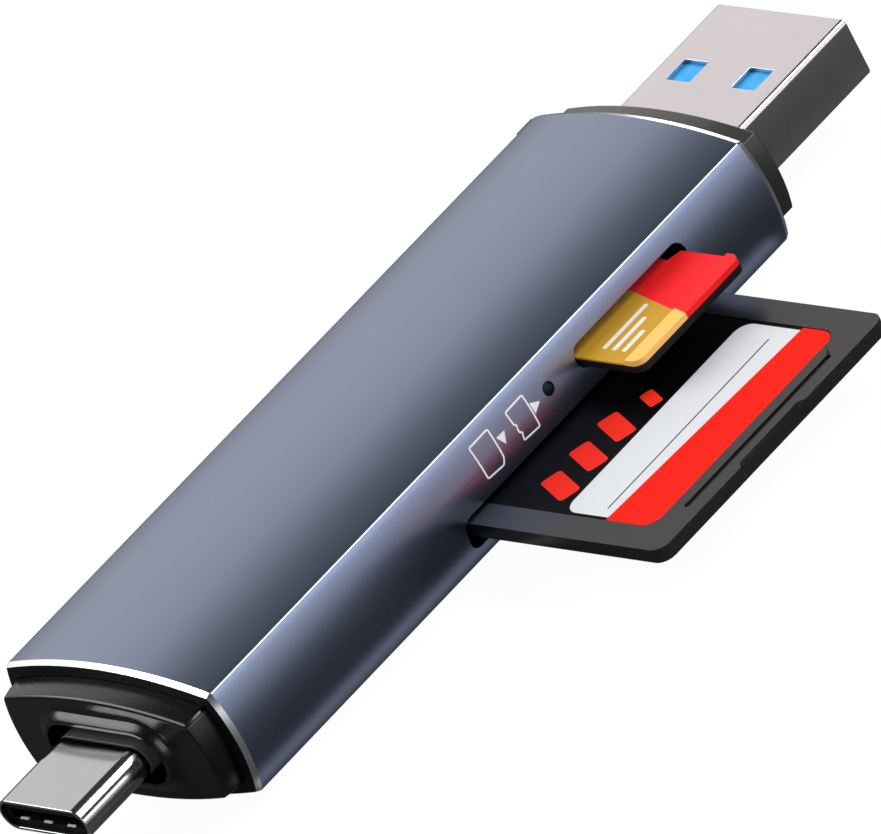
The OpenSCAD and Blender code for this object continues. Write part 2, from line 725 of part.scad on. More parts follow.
module usb_a_end_insert() {
    front_edge = bevel_edge(insert_a_bevel);
    color([0.16, 0.17, 0.16])
        difference() {
            union() {
                rounded_pillow(wall + fit, insert_a_ridge, insert_a_y0, 0, plain_edge, front_edge);
                locating_lug();
            }
            along_y(insert_a_y0 - 1, 1)
                rounded_rectangle(usb_a_width + 2 * fit, usb_a_height + 2 * fit, usb_a_corner);
            board_slots(shoulder_a_x, insert_a_y0 - 1, shoulder_a_y + 2 * fit);
        }
}

// The raised rim: a stadium that grows towards the insert, made of two cones and the bar between them
module raised_rim() {
    width = recess_width + 2 * rim_land;
    height = recess_height + 2 * rim_land;
    y0 = face_c - rim_height;
    half = (width - height) / 2;
    for (side = [-1, 1])
        translate([side * half, y0, 0])
            rotate([-90, 0, 0])
                cylinder(h = rim_height, r1 = height / 2, r2 = height / 2 + rim_slope);
    along_x(-half, half)
        polygon([[y0, -height / 2], [y0, height / 2],
            [face_c, height / 2 + rim_slope], [face_c, -height / 2 - rim_slope]]);
}

module usb_c_end_insert() {
    front_edge = tapered_edge(insert_c_bevel, taper_depth, taper_length);
    color([0.07, 0.07, 0.07])
        difference() {
            union() {
                rounded_pillow(wall + fit, insert_c_ridge, face_c, insert_c_y1, front_edge, plain_edge);
                raised_rim();
            }
            along_y(face_c - rim_height - 1, face_c + recess_depth)
                stadium(recess_width, recess_height);
            along_y(face_c, rear_shell_y1 + fit)
                stadium(usb_c_width + 2 * fit, usb_c_height + 2 * fit);
            span([-neck_c_half - 2 * fit, rear_shell_y1, -usb_c_height / 2],
                [neck_c_half + 2 * fit, insert_c_y1 + 1, usb_c_height / 2]);
            board_slots(shoulder_c_x, shoulder_c_y - 2 * fit, insert_c_y1 + 1);
        }
}

module usb_a_shell() {
    color([0.8, 0.78, 0.77])
        difference() {
            along_y(-usb_a_tail, usb_a_reach)
                rounded_rectangle(usb_a_width, usb_a_height, usb_a_corner);
            along_y(-usb_a_tail - 1, usb_a_reach + 1)
                rounded_rectangle(usb_a_bore_width, usb_a_bore_height, usb_a_bore_corner);
            for (side = [-1, 1])
                translate([side * window_x, window_y, 0])
                    cube([window_width, window_length, usb_a_height + 1], center = true);
        }
}

module usb_a_insulator() {
    color([0.1, 0.35, 0.8])
        difference() {
            along_y(block_a_y0, tongue_y1)
                rounded_rectangle(usb_a_bore_width - 2 * fit, 2 * tongue_z1, usb_a_bore_corner);
            span([-usb_a_width, tongue_root, -usb_a_height], [usb_a_width, usb_a_reach, tongue_z0]);
        }
}

module usb_a_contacts() {
    color("gold") {
        for (x = flat_contact_places)
            flat_contact(x);
        for (i = [-2 : 2])
            sprung_contact(i * sprung_contact_pitch);
    }
}

// A flat contact under the tongue, and its tail on top of the circuit board
module flat_contact(x) {
    left = x - flat_contact_width / 2;
    right = x + flat_contact_width / 2;
    front = tongue_y1 - flat_contact_setback;
    span([left, front - flat_contact_length, tongue_z0 - usb_a_contact_sheet], [right, front, tongue_z0]);
    span([left, board_y1, board_z1], [right, block_a_y0, board_z1 + usb_a_contact_sheet]);
}

// A sprung contact behind the flat ones, and its tail under the circuit board
module sprung_contact(x) {
    left = x - sprung_contact_width / 2;
    right = x + sprung_contact_width / 2;
    high = tongue_z0 - usb_a_contact_sheet / 2 - fit;
    low = high - sprung_contact_bow;
    step = sprung_contact_length / 4;
    along_x(left, right)
        strip([[tongue_root, high], [tongue_root + step / 2, high], [tongue_root + 1.5 * step, low],
            [tongue_root + 2.5 * step, low], [tongue_root + 4 * step, high]], usb_a_contact_sheet);
    span([left, board_y1, board_z0 - usb_a_contact_sheet], [right, block_a_y0, board_z0]);
}

// A length of the USB C shell, from y0 to y1
module usb_c_tube(y0, y1) {
    difference() {
        along_y(y0, y1)
            stadium(usb_c_width, usb_c_height);
        along_y(y0 - 1, y1 + 1)
            stadium(usb_c_bore_width, usb_c_bore_height);
    }
}

module usb_c_shell() {
    color([0.82, 0.82, 0.82])
        usb_c_tube(tip_c, rear_shell_y0 - shell_seam);
}

module usb_c_rear_shell() {
    color([0.35, 0.35, 0.35])
        usb_c_tube(rear_shell_y0, rear_shell_y1);
}

// The insulator's block grips the neck of the circuit board between two jaws
module usb_c_insulator() {
    height = usb_c_bore_height - 2 * fit;
    color([0.05, 0.05, 0.05])
        difference() {
            union() {
                along_y(tip_c + usb_c_setback, rear_shell_y1)
                    stadium(usb_c_bore_width - 2 * fit, height);
                span([-block_c_half, rear_shell_y1, -height / 2], [block_c_half, block_c_y1, height / 2]);
            }
            along_y(tip_c, tip_c + usb_c_setback + usb_c_slot_depth)
                square([usb_c_slot_width, usb_c_slot_height], center = true);
            span([-usb_c_width, neck_c_y - 2 * fit, board_z0 - 2 * fit],
                [usb_c_width, block_c_y1 + 1, board_z1 + 2 * fit]);
        }
}

// Two rows of contacts in the tongue slot, and their tails on both faces of the circuit board
module usb_c_contacts() {
    half = usb_c_contact_width / 2;
    front = tip_c + usb_c_contact_setback;
    color("gold")
        for (i = [0 : usb_c_contact_count - 1]) {
            x = (i - (usb_c_contact_count - 1) / 2) * usb_c_contact_pitch;
            for (side = [-1, 1]) {
                span([x - half, front, side * (usb_c_slot_height / 2 - usb_c_contact_sheet)],
                    [x + half, front + usb_c_contact_length, side * usb_c_slot_height / 2]);
                span([x - half, neck_c_y, side * board_z1],
                    [x + half, block_c_y1 + usb_c_tail_reach, side * (board_z1 + usb_c_contact_sheet)]);
            }
        }
}

// The side springs that a socket's tongue clicks between
module usb_c_latch_springs() {
    quarter = usb_c_slot_height / 4;
    front = tip_c + usb_c_contact_setback;
    back = front + usb_c_contact_length;
    color("silver")
        for (side = [-1, 1])
            span([side * usb_c_slot_width / 2, front, -quarter],
                [side * (usb_c_slot_width / 2 - spring_sheet), back, quarter]);
}

module circuit_board() {
    color([0.05, 0.3, 0.15])
        along_z(board_z0, board_z1)
            board_outline();
}

// The board has shoulders that seat in the end inserts, and a neck between them at each end
module board_outline() {
    neck_a_half = usb_a_bore_width / 2 - 2 * fit;
    translate([-board_half, board_y0])
        square([2 * board_half, board_y1 - board_y0]);
    translate([-neck_a_half, board_y1 - 1])
        square([2 * neck_a_half, neck_a_y - board_y1 + 1]);
    translate([-neck_c_half, neck_c_y])
        square([2 * neck_c_half, board_y0 - neck_c_y + 1]);
    for (side = [0, 1])
        mirror([side, 0]) {
            translate([shoulder_a_x, board_y1 - 1])
                square([board_half - shoulder_a_x, shoulder_a_y - board_y1 + 1]);
            translate([shoulder_c_x, shoulder_c_y])
                square([board_half - shoulder_c_x, board_y0 - shoulder_c_y + 1]);
        }
}

// A block on the circuit board: its middle, its size, and the side of the board that it is on
module board_block(middle, size, side) {
    height = side * board_z1;
    span([middle.x - size.x / 2, middle.y - size.y / 2, height],
        [middle.x + size.x / 2, middle.y + size.y / 2, height + side * size.z]);
}

module controller_chip() {
    middle = tube_y0 + controller_from_c;
    foot = controller_side / 2 + lead_length / 2;
    color([0.08, 0.08, 0.09]) {
        board_block([0, middle], [controller_side, controller_side, controller_thickness], 1);
        for (i = [0 : lead_count - 1], end = [-1, 1])
            board_block([(i - (lead_count - 1) / 2) * lead_pitch, middle + end * foot],
                [lead_width, lead_length, lead_sheet], 1);
    }
}

module crystal() {
    color([0.75, 0.75, 0.72])
        board_block([0.57 * board_half, tube_y0 + crystal_from_c],
            [crystal_length, crystal_width, crystal_height], -1);
}

module regulator() {
    color([0.1, 0.1, 0.1])
        board_block([-0.46 * board_half, tube_y0 + crystal_from_c],
            [regulator_length, regulator_width, regulator_height], -1);
}

// A row of small chips under the board, in the space between the USB C end insert and the crystal
module chip_row(row, height) {
    space = tube_y0 + crystal_from_c - crystal_width / 2 - insert_c_y1;
    row_y = insert_c_y1 + row * space / 3;
    for (i = [0 : chip_count - 1])
        board_block([(i - (chip_count - 1) / 2) * chip_pitch, row_y], [chip_length, chip_width, height], -1);
}

module chip_capacitors() {
    color([0.6, 0.5, 0.38])
        chip_row(1, capacitor_height);
}

module chip_resistors() {
    color([0.15, 0.15, 0.17])
        chip_row(2, resistor_height);
}

module status_led() {
    front = board_half - lamp_setback;
    color([0.9, 0.95, 1]) {
        board_block([front - lamp_depth / 2, indicator_y], [lamp_depth, lamp_length, lamp_height], 1);
        translate([front, indicator_y, indicator_z])
            rotate([0, 90, 0])
                cylinder(h = lens_height, r = lens_radius);
    }
}

function sd_pad_y(i) = sd_y + (i - (sd_pad_count - 1) / 2) * sd_pitch;
function sd_pad_lead(i) = sd_x0 + (i == sd_pad_count - 1 ? last_pad_setback : 0);

module sd_socket_frame() {
    spring_room = sd_pad_setback + sd_touch + sd_tip_length + spring_end_gap;
    color([0.12, 0.12, 0.12])
        difference() {
            union() {
                span([sd_frame_x0, sd_y - sd_frame_half, sd_floor_z0],
                    [sd_frame_x1, sd_y + sd_frame_half, sd_floor_z1]);
                span([sd_frame_x0, sd_y - sd_frame_half, sd_floor_z0],
                    [sd_stop_x, sd_y + sd_frame_half, sd_cover_z0]);
                for (side = [-1, 1])
                    span([sd_frame_x0, sd_y + side * sd_inner_half, sd_floor_z0],
                        [sd_frame_x1, sd_y + side * sd_frame_half, sd_cover_z0]);
            }
            for (i = [0 : sd_pad_count - 1])
                span([sd_frame_x0 - 1, sd_pad_y(i) - sd_spring_slot / 2, sd_floor_z0 - 1],
                    [sd_pad_lead(i) + spring_room, sd_pad_y(i) + sd_spring_slot / 2, sd_z0 + card_gap]);
        }
}

module sd_socket_cover() {
    window_x = (sd_stop_x + sd_frame_x1) / 2;
    color([0.78, 0.78, 0.8])
        difference() {
            span([sd_frame_x0 + 4 * fit, sd_y - sd_frame_half, sd_cover_z0],
                [sd_frame_x1, sd_y + sd_frame_half, board_z0]);
            for (side = [-1, 1])
                translate([window_x, sd_y + side * sd_width / 4, board_z0])
                    cube([cover_window_length, cover_window_width, 1], center = true);
        }
}

// One bent spring: soldered to the board, down behind the frame, then up to the pad
module sd_spring(i) {
    low = sd_floor_z1 - 2 * fit;
    tip = sd_pad_lead(i) + sd_pad_setback + sd_touch;
    tip_z = sd_board_z0 - pad_sheet - card_gap - spring_sheet / 2;
    tail_z = board_z0 - spring_sheet / 2;
    translate([0, sd_pad_y(i), 0])
        along_y(-sd_spring_width / 2, sd_spring_width / 2)
            strip([[sd_spring_rear - sd_tail_length, tail_z], [sd_spring_rear, tail_z], [sd_spring_rear, low],
                [sd_x0 - sd_bend_back, low], [tip, tip_z],
                [tip + sd_tip_length, tip_z - sd_tip_drop]], spring_sheet);
}

module sd_socket_contacts() {
    color("gold")
        for (i = [0 : sd_pad_count - 1])
            sd_spring(i);
}

function micro_pad_y(i) = micro_pad_middle + (i - (micro_pad_count - 1) / 2) * micro_pitch;

module microsd_socket_frame() {
    spring_room = micro_pad_setback + micro_touch + micro_tip_length + spring_end_gap;
    color([0.12, 0.12, 0.12])
        difference() {
            union() {
                span([micro_frame_x0, micro_y - micro_frame_half, board_z1],
                    [micro_frame_x1, micro_y + micro_frame_half, micro_base_z1]);
                span([micro_frame_x0, micro_y - micro_frame_half, board_z1],
                    [micro_stop_x, micro_y + micro_frame_half, micro_cover_z0]);
                for (side = [-1, 1])
                    span([micro_frame_x0, micro_y + side * micro_inner_half, board_z1],
                        [micro_frame_x1, micro_y + side * micro_frame_half, micro_cover_z0]);
            }
            for (i = [0 : micro_pad_count - 1])
                span([micro_frame_x0 - 1, micro_pad_y(i) - micro_spring_slot / 2, board_z1 - 1],
                    [micro_x0 + spring_room, micro_pad_y(i) + micro_spring_slot / 2, micro_z0]);
        }
}

module microsd_socket_cover() {
    flange = micro_frame_half + cover_sheet;
    color([0.8, 0.8, 0.82])
        difference() {
            span([micro_frame_x0, micro_y - flange, board_z1],
                [micro_frame_x1, micro_y + flange, micro_cover_z1]);
            span([micro_frame_x0 - 1, micro_y - micro_frame_half, board_z1 - 1],
                [micro_frame_x1 + 1, micro_y + micro_frame_half, micro_cover_z0]);
            translate([(micro_x0 + micro_frame_x1) / 2, micro_y, micro_cover_z1])
                cube([micro_window_length, micro_window_width, 1], center = true);
        }
}

// One bent spring: soldered to the board behind the frame, then up to the pad
module micro_spring(i) {
    tail_z = board_z1 + spring_sheet / 2;
    tip_z = micro_z0 - card_gap - spring_sheet / 2;
    low = (tail_z + tip_z) / 2;
    tail = micro_frame_x0 - 2 * fit;
    tip = micro_x0 + micro_pad_setback + micro_touch;
    translate([0, micro_pad_y(i), 0])
        along_y(-micro_spring_width / 2, micro_spring_width / 2)
            strip([[tail - micro_tail_length, tail_z], [tail, tail_z], [tail + micro_root_slope, low],
                [micro_x0 + micro_bend_in, low], [tip, tip_z],
                [tip + micro_tip_length, tip_z - micro_tip_drop]], spring_sheet);
}

module microsd_socket_contacts() {
    color("gold")
        for (i = [0 : micro_pad_count - 1])
            micro_spring(i);
}

// Outline of the SD card in X and Y, with the cut corner and rounded trailing corners
module sd_outline(side_inset, back_inset) {
    x1 = sd_x1 - back_inset;
    half = sd_width / 2 - side_inset;
    cut_y = sd_y + sd_width / 2 - sd_cut;
    difference() {
        union() {
            translate([sd_x0, sd_y - half])
                square([x1 - sd_corner - sd_x0, 2 * half]);
            translate([x1 - sd_corner - 1, sd_y - half + sd_corner])
                square([sd_corner + 1, 2 * (half - sd_corner)]);
            for (side = [-1, 1])
                translate([x1 - sd_corner, sd_y + side * (half - sd_corner)])
                    circle(r = sd_corner);
        }
        polygon([[sd_x0 - 1, cut_y - 1], [sd_x0 + sd_cut + 1, cut_y + sd_cut + 1],
            [sd_x0 - 1, cut_y + sd_cut + 1]]);
    }
}

// The finger notch has slanted ends
module finger_notch() {
    half = finger_length / 2;
    translate([sd_x1, sd_y])
        polygon([[1, half + 1], [-finger_depth, half - finger_depth],
            [-finger_depth, finger_depth - half], [1, -half - 1]]);
}

module sd_card_top_shell() {
    color([0.2, 0.2, 0.2])
        difference() {
            along_z(sd_split, sd_z1)
                difference() {
                    sd_outline(0, 0);
                    finger_notch();
                }
            span([sd_x0 + card_wall, sd_side_y + card_wall, sd_split - 1],
                [sd_x1 - sd_back_step - card_wall, sd_y + sd_width / 2 - sd_cut, sd_z1 - sd_roof]);
            label_space(sd_z1 - label_recess, sd_z1 + 1, 0);
            along_z(sd_z1 - groove_depth, sd_z1 + 1)
                translate([sd_x1 - groove_inset, sd_y])
                    rotate(90)
                        stadium(groove_length, groove_width);
            write_protect_notch();
        }
}

// The notch is open at the card's edge, and has a groove for the slider's key in its inner wall
module write_protect_notch() {
    notch_x1 = notch_x0 + notch_length;
    inner = sd_side_y + notch_depth;
    span([notch_x0, sd_side_y - 1, sd_split - 1], [notch_x1, inner, sd_z1 + 1]);
    span([notch_x0, sd_side_y, slider_z - slider_key / 2 - fit],
        [notch_x1, inner + slider_key + fit, slider_z + slider_key / 2 + fit]);
}

module label_space(z0, z1, gap) {
    x0 = sd_x0 + label_lead + gap;
    x1 = sd_x1 - label_inset - gap;
    along_z(z0, z1)
        translate([(x0 + x1) / 2, sd_y])
            rounded_rectangle(x1 - x0, sd_width - 2 * (label_margin + gap), label_corner);
}

module sd_card_label() {
    color([0.85, 0.2, 0.15])
        label_space(sd_z1 - label_recess, sd_z1 - label_recess + label_sheet, fit);
}

module sd_card_bottom_shell() {
    color([0.12, 0.12, 0.12])
        difference() {
            along_z(sd_z0, sd_split)
                sd_outline(sd_side_step, sd_back_step);
            sd_board_space(sd_split + 1, fit);
            for (i = [0 : sd_pad_count - 1])
                translate([0, sd_pad_y(i), 0])
                    span([sd_x0 - 1, -sd_window_width / 2, sd_z0 - 1],
                        [sd_pad_lead(i) + sd_window_length, sd_window_width / 2, sd_board_z0 + fit]);
        }
}

// The card's own board lies on the lower shell, with its corner cut as the card's is
module sd_board_space(z1, gap) {
    front = sd_x0 + sd_pad_setback - 4 * fit - gap;
    back = sd_x1 - sd_back_step - card_wall + gap;
    half = sd_width / 2 - card_wall + gap;
    corner = sd_cut - 1;
    along_z(sd_board_z0, z1)
        polygon([[front, sd_y - half], [back, sd_y - half], [back, sd_y + half],
            [front + corner, sd_y + half], [front, sd_y + half - corner]]);
}

module sd_card_board() {
    color([0.1, 0.35, 0.2])
        sd_board_space(sd_board_z1, 0);
}

module sd_card_memory() {
    x0 = sd_x0 + memory_from_lead;
    color([0.06, 0.06, 0.06])
        span([x0, sd_y - memory_width / 2, sd_board_z1],
            [x0 + memory_length, sd_y + memory_width / 2, sd_board_z1 + memory_thickness]);
}

module sd_card_pads() {
    color("gold")
        for (i = [0 : sd_pad_count - 1])
            translate([sd_pad_lead(i) + sd_pad_setback, sd_pad_y(i), 0])
                span([0, -sd_pad_width / 2, sd_board_z0 - pad_sheet],
                    [sd_pad_length, sd_pad_width / 2, sd_board_z0]);
}

module write_protect_slider() {
    outer = sd_side_y + fit;
    inner = sd_side_y + notch_depth - fit;
    slider_x1 = slider_x0 + slider_length;
    color([0.85, 0.85, 0.82])
        union() {
            span([slider_x0, outer, sd_split + fit], [slider_x1, inner, sd_z1 - fit]);
            span([slider_x0, outer + 4 * fit, slider_z - slider_key / 2],
                [slider_x1, inner + slider_key, slider_z + slider_key / 2]);
        }
}

// The micro SD card's stepped side: a slope up to the shelf, then a catch notch that rises to full width
function micro_step_points() =
    let (slope_end = micro_step_length + micro_slope,
         shelf_end = slope_end + micro_shelf,
         floor_start = shelf_end + micro_slope / 2,
         floor_end = floor_start + micro_notch,
         shelf = micro_width - micro_step / 2,
         notch_floor = micro_width - 0.8 * micro_step)
    [[-1, micro_lead_width], [micro_step_length, micro_lead_width], [slope_end, shelf], [shelf_end, shelf],
        [floor_start, notch_floor], [floor_end, notch_floor], [floor_end + micro_slope / 2, micro_width],
        [floor_end + micro_slope / 2, micro_width + 1], [-1, micro_width + 1]];

module micro_outline() {
    difference() {
        union() {
            translate([micro_x0, micro_side_y])
                square([micro_length - micro_corner, micro_width]);
            translate([micro_x1 - micro_corner - 1, micro_side_y + micro_corner])
                square([micro_corner + 1, micro_width - 2 * micro_corner]);
            for (y = [micro_corner, micro_width - micro_corner])
                translate([micro_x1 - micro_corner, micro_side_y + y])
                    circle(r = micro_corner);
        }
        translate([micro_x0, micro_side_y]) {
            polygon(micro_step_points());
            polygon([[-1, -1], [micro_lead_bevel + 1, -1], [-1, micro_lead_bevel + 1]]);
        }
    }
}

// The card's side view in X and Z, with a raised lip that slopes down towards the slot
module micro_side_view() {
    lip_x = micro_x1 - micro_lip_width;
    polygon([[micro_x0 - 1, micro_z0], [micro_x0 - 1, micro_z1], [lip_x - micro_lip, micro_z1],
        [lip_x, micro_z1 + micro_lip], [micro_x1 + 1, micro_z1 + micro_lip], [micro_x1 + 1, micro_z0]]);
}

module microsd_card() {
    color([0.75, 0.55, 0.15])
        difference() {
            intersection() {
                along_z(micro_z0, micro_z1 + micro_lip)
                    micro_outline();
                along_y(micro_side_y - 1, micro_side_y + micro_width + 1)
                    micro_side_view();
            }
            micro_pad_boxes();
        }
}

module micro_pad_boxes() {
    front = micro_x0 + micro_pad_setback;
    for (i = [0 : micro_pad_count - 1])
        span([front, micro_pad_y(i) - micro_pad_width / 2, micro_z0],
            [front + micro_pad_length, micro_pad_y(i) + micro_pad_width / 2, micro_z0 + pad_sheet]);
}

module microsd_pads() {
    color("gold")
        micro_pad_boxes();
}

housing_tube();
usb_a_end_insert();
usb_c_end_insert();
usb_a_shell();
usb_a_insulator();
usb_a_contacts();
usb_c_shell();
usb_c_rear_shell();
usb_c_insulator();
usb_c_contacts();
usb_c_latch_springs();
circuit_board();
controller_chip();
crystal();
regulator();
chip_capacitors();
chip_resistors();
status_led();
sd_socket_frame();
sd_socket_cover();
sd_socket_contacts();
microsd_socket_frame();
microsd_socket_cover();
microsd_socket_contacts();
sd_card_top_shell();
sd_card_bottom_shell();
sd_card_board();
sd_card_memory();
sd_card_pads();
sd_card_label();
write_protect_slider();
microsd_card();
microsd_pads();
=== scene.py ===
import bpy
import bmesh
import json
import math
from mathutils import Matrix, Vector

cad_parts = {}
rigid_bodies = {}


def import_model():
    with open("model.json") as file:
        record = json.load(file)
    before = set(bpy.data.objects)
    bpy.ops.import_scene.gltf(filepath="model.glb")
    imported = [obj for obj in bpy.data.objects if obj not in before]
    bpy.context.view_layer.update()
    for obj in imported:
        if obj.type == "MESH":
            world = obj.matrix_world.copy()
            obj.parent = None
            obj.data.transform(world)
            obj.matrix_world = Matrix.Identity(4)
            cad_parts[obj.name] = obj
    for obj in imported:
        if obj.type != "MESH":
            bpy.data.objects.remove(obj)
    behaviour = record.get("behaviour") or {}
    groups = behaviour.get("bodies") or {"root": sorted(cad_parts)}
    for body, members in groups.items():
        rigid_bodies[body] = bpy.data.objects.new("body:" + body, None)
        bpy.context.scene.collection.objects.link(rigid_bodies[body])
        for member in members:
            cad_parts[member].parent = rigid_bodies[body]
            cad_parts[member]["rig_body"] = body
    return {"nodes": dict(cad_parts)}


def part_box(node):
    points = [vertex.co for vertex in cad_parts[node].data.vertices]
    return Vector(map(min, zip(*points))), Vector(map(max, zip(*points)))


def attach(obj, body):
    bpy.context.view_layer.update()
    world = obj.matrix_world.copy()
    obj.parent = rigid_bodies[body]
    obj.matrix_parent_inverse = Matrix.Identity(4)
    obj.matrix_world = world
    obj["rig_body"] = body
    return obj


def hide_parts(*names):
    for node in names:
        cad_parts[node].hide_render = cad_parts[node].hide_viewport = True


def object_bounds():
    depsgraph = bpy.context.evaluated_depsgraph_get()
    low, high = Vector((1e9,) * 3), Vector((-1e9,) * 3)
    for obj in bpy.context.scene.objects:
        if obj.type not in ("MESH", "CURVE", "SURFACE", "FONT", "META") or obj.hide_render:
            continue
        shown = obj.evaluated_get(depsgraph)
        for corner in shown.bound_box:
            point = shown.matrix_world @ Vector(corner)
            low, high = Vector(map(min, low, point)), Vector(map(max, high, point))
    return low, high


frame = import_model()
nodes = frame["nodes"]
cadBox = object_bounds()
mm = 0.001
print("frame loaded:", len(nodes), "nodes")


# colours are written as screen values, 0 to 255
def screenColor(rgb):
    linear = [(c / 255 / 12.92) if c <= 10 else ((c / 255 + 0.055) / 1.055) ** 2.4 for c in rgb]
    return (*linear, 1)


def addNode(tree, kind, **settings):
    made = tree.nodes.new("ShaderNode" + kind)
    for key, value in settings.items():
        setattr(made, key, value)
    return made


def mathNode(tree, operation, first, second=None, clamp=False):
    made = addNode(tree, "Math", operation=operation, use_clamp=clamp)
    for index, value in enumerate((first, second)):
        if value is None:
            continue
        if isinstance(value, (int, float)):
            made.inputs[index].default_value = value
        else:
            tree.links.new(value, made.inputs[index])
    return made.outputs[0]


def vectorNode(tree, operation, first, second=None):
    made = addNode(tree, "VectorMath", operation=operation)
    tree.links.new(first, made.inputs[0])
    if second is not None:
        made.inputs[1].default_value = second
    return made.outputs["Value" if operation == "LENGTH" else "Vector"]


# points of the surface in millimetres, turned and moved so that (0, 0) is the middle of a mark
def markSpace(tree, middle, turn=0.0):
    place = addNode(tree, "TexCoord")
    mapped = addNode(tree, "Mapping")
    tree.links.new(place.outputs["Object"], mapped.inputs["Vector"])
    angle = -math.radians(turn)
    shift = Matrix.Rotation(angle, 3, "Z") @ Vector((middle[0], middle[1], 0))
    mapped.inputs["Scale"].default_value = (1 / mm, 1 / mm, 1 / mm)
    mapped.inputs["Rotation"].default_value = (0, 0, angle)
    mapped.inputs["Location"].default_value = -shift
    return mapped.outputs["Vector"]


# how far a point lies outside a rectangle, in millimetres
def boxDistance(tree, middle, size, turn=0.0):
    spot = markSpace(tree, middle, turn)
    away = vectorNode(tree, "ABSOLUTE", spot)
    away = vectorNode(tree, "SUBTRACT", away, (size[0] / 2, size[1] / 2, 0))
    away = vectorNode(tree, "MAXIMUM", away, (0, 0, 0))
    away = vectorNode(tree, "MULTIPLY", away, (1, 1, 0))
    return vectorNode(tree, "LENGTH", away)


# 1 inside a rounded rectangle, 0 outside, with a thin soft edge
def boxMask(tree, middle, size, corner=0.0, turn=0.0, edge=0.02):
    corner = max(corner, edge)
    reach = boxDistance(tree, middle, (size[0] - 2 * corner, size[1] - 2 * corner), turn)
    inside = mathNode(tree, "SUBTRACT", corner + edge / 2, reach)
    return mathNode(tree, "DIVIDE", inside, edge, clamp=True)


def mixColor(tree, mask, below, above):
    made = addNode(tree, "Mix", data_type="RGBA")
    tree.links.new(mask, made.inputs["Factor"])
    for socket, value in ((made.inputs[6], below), (made.inputs[7], above)):
        if isinstance(value, tuple):
            socket.default_value = value
        else:
            tree.links.new(value, socket)
    return made.outputs[2]


# what all surfaces share: the noises' detail, and the noise levels between which the gloss changes
finish = dict(patchDetail=3, grainDetail=2, glossFrom=0.3, glossTo=0.7, bump=0.4, coatRough=0.1)


# a surface: two close colours in soft patches, uneven gloss, and a fine grain in the normal where the look
# has a depth. paint lays a print over the colour
def surface(name, look, paint=None):
    material = bpy.data.materials.new(name)
    material.use_nodes = True
    tree = material.node_tree
    tree.nodes.clear()
    out = addNode(tree, "OutputMaterial")
    shader = addNode(tree, "BsdfPrincipled")
    tree.links.new(shader.outputs[0], out.inputs[0])
    place = addNode(tree, "TexCoord")
    stretched = addNode(tree, "Mapping")
    stretched.inputs["Scale"].default_value = look.get("stretch", (1, 1, 1))
    tree.links.new(place.outputs["Object"], stretched.inputs["Vector"])

    patches = addNode(tree, "TexNoise")
    patches.inputs["Scale"].default_value = 1 / (look["patch"] * mm)
    patches.inputs["Detail"].default_value = finish["patchDetail"]
    tree.links.new(place.outputs["Object"], patches.inputs["Vector"])
    color = mixColor(tree, patches.outputs[0], screenColor(look["color"]), screenColor(look["color2"]))
    if paint:
        color = paint(tree, color)
    tree.links.new(color, shader.inputs["Base Color"])

    grain = addNode(tree, "TexNoise")
    grain.inputs["Scale"].default_value = 1 / (look["grain"] * mm)
    grain.inputs["Detail"].default_value = finish["grainDetail"]
    tree.links.new(stretched.outputs["Vector"], grain.inputs["Vector"])
    gloss = addNode(tree, "MapRange")
    gloss.inputs["From Min"].default_value = finish["glossFrom"]
    gloss.inputs["From Max"].default_value = finish["glossTo"]
    gloss.inputs["To Min"].default_value = look["rough"][0]
    gloss.inputs["To Max"].default_value = look["rough"][1]
    tree.links.new(grain.outputs[0], gloss.inputs["Value"])
    tree.links.new(gloss.outputs[0], shader.inputs["Roughness"])

    if look.get("depth", 0) > 0:
        bump = addNode(tree, "Bump")
        bump.inputs["Strength"].default_value = finish["bump"]
        bump.inputs["Distance"].default_value = look["depth"] * mm
        tree.links.new(grain.outputs[0], bump.inputs["Height"])
        tree.links.new(bump.outputs[0], shader.inputs["Normal"])

    shader.inputs["Metallic"].default_value = look.get("metal", 0)
    shader.inputs["Specular IOR Level"].default_value = look.get("specular", 0.5)
    shader.inputs["Coat Weight"].default_value = look.get("coat", 0)
    shader.inputs["Coat Roughness"].default_value = finish["coatRough"]
    return material


def smoothMesh(mesh, angle=30):
    for face in mesh.polygons:
        face.use_smooth = True
    mesh.set_sharp_from_angle(angle=math.radians(angle))


def addPiece(name, mesh, body, slot, material, *replaced):
    piece = bpy.data.objects.new(name, mesh)
    bpy.context.scene.collection.objects.link(piece)
    mesh.materials.clear()
    mesh.materials.append(material)
    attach(piece, body)
    if replaced:
        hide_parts(*replaced)
    return piece


# rounds the edges that are sharper than an angle
def roundEdges(piece, width, segments=2, angle=32):
    rounding = piece.modifiers.new("edges", "BEVEL")
    rounding.width = width * mm
    rounding.segments = segments
    rounding.limit_method = "ANGLE"
    rounding.angle_limit = math.radians(angle)
    rounding.harden_normals = True


# a CAD mesh is welded at this distance and made of whole flat faces within this angle
cleaning = dict(weld=0.001, flat=1)


# a CAD node's own shape with its edges rounded as a real moulding or pressing has them
def finishNode(node, slot, material, edge, segments=2):
    bm = bmesh.new()
    bm.from_mesh(nodes[node].data)
    flat = math.radians(cleaning["flat"])
    bmesh.ops.remove_doubles(bm, verts=bm.verts, dist=cleaning["weld"] * mm)
    bmesh.ops.dissolve_limit(bm, angle_limit=flat, verts=bm.verts, edges=bm.edges)
    mesh = bpy.data.meshes.new(node + "_finish")
    bm.to_mesh(mesh)
    bm.free()
    smoothMesh(mesh)
    piece = addPiece(node + "_finish", mesh, nodes[node]["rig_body"], slot, material, node)
    roundEdges(piece, edge, segments)
    return piece


# CAD nodes that keep their shape and only get a material
def paintNodes(name, look, *painted):
    material = surface(name, look)
    for node in painted:
        mesh = nodes[node].data
        mesh.materials.clear()
        mesh.materials.append(material)


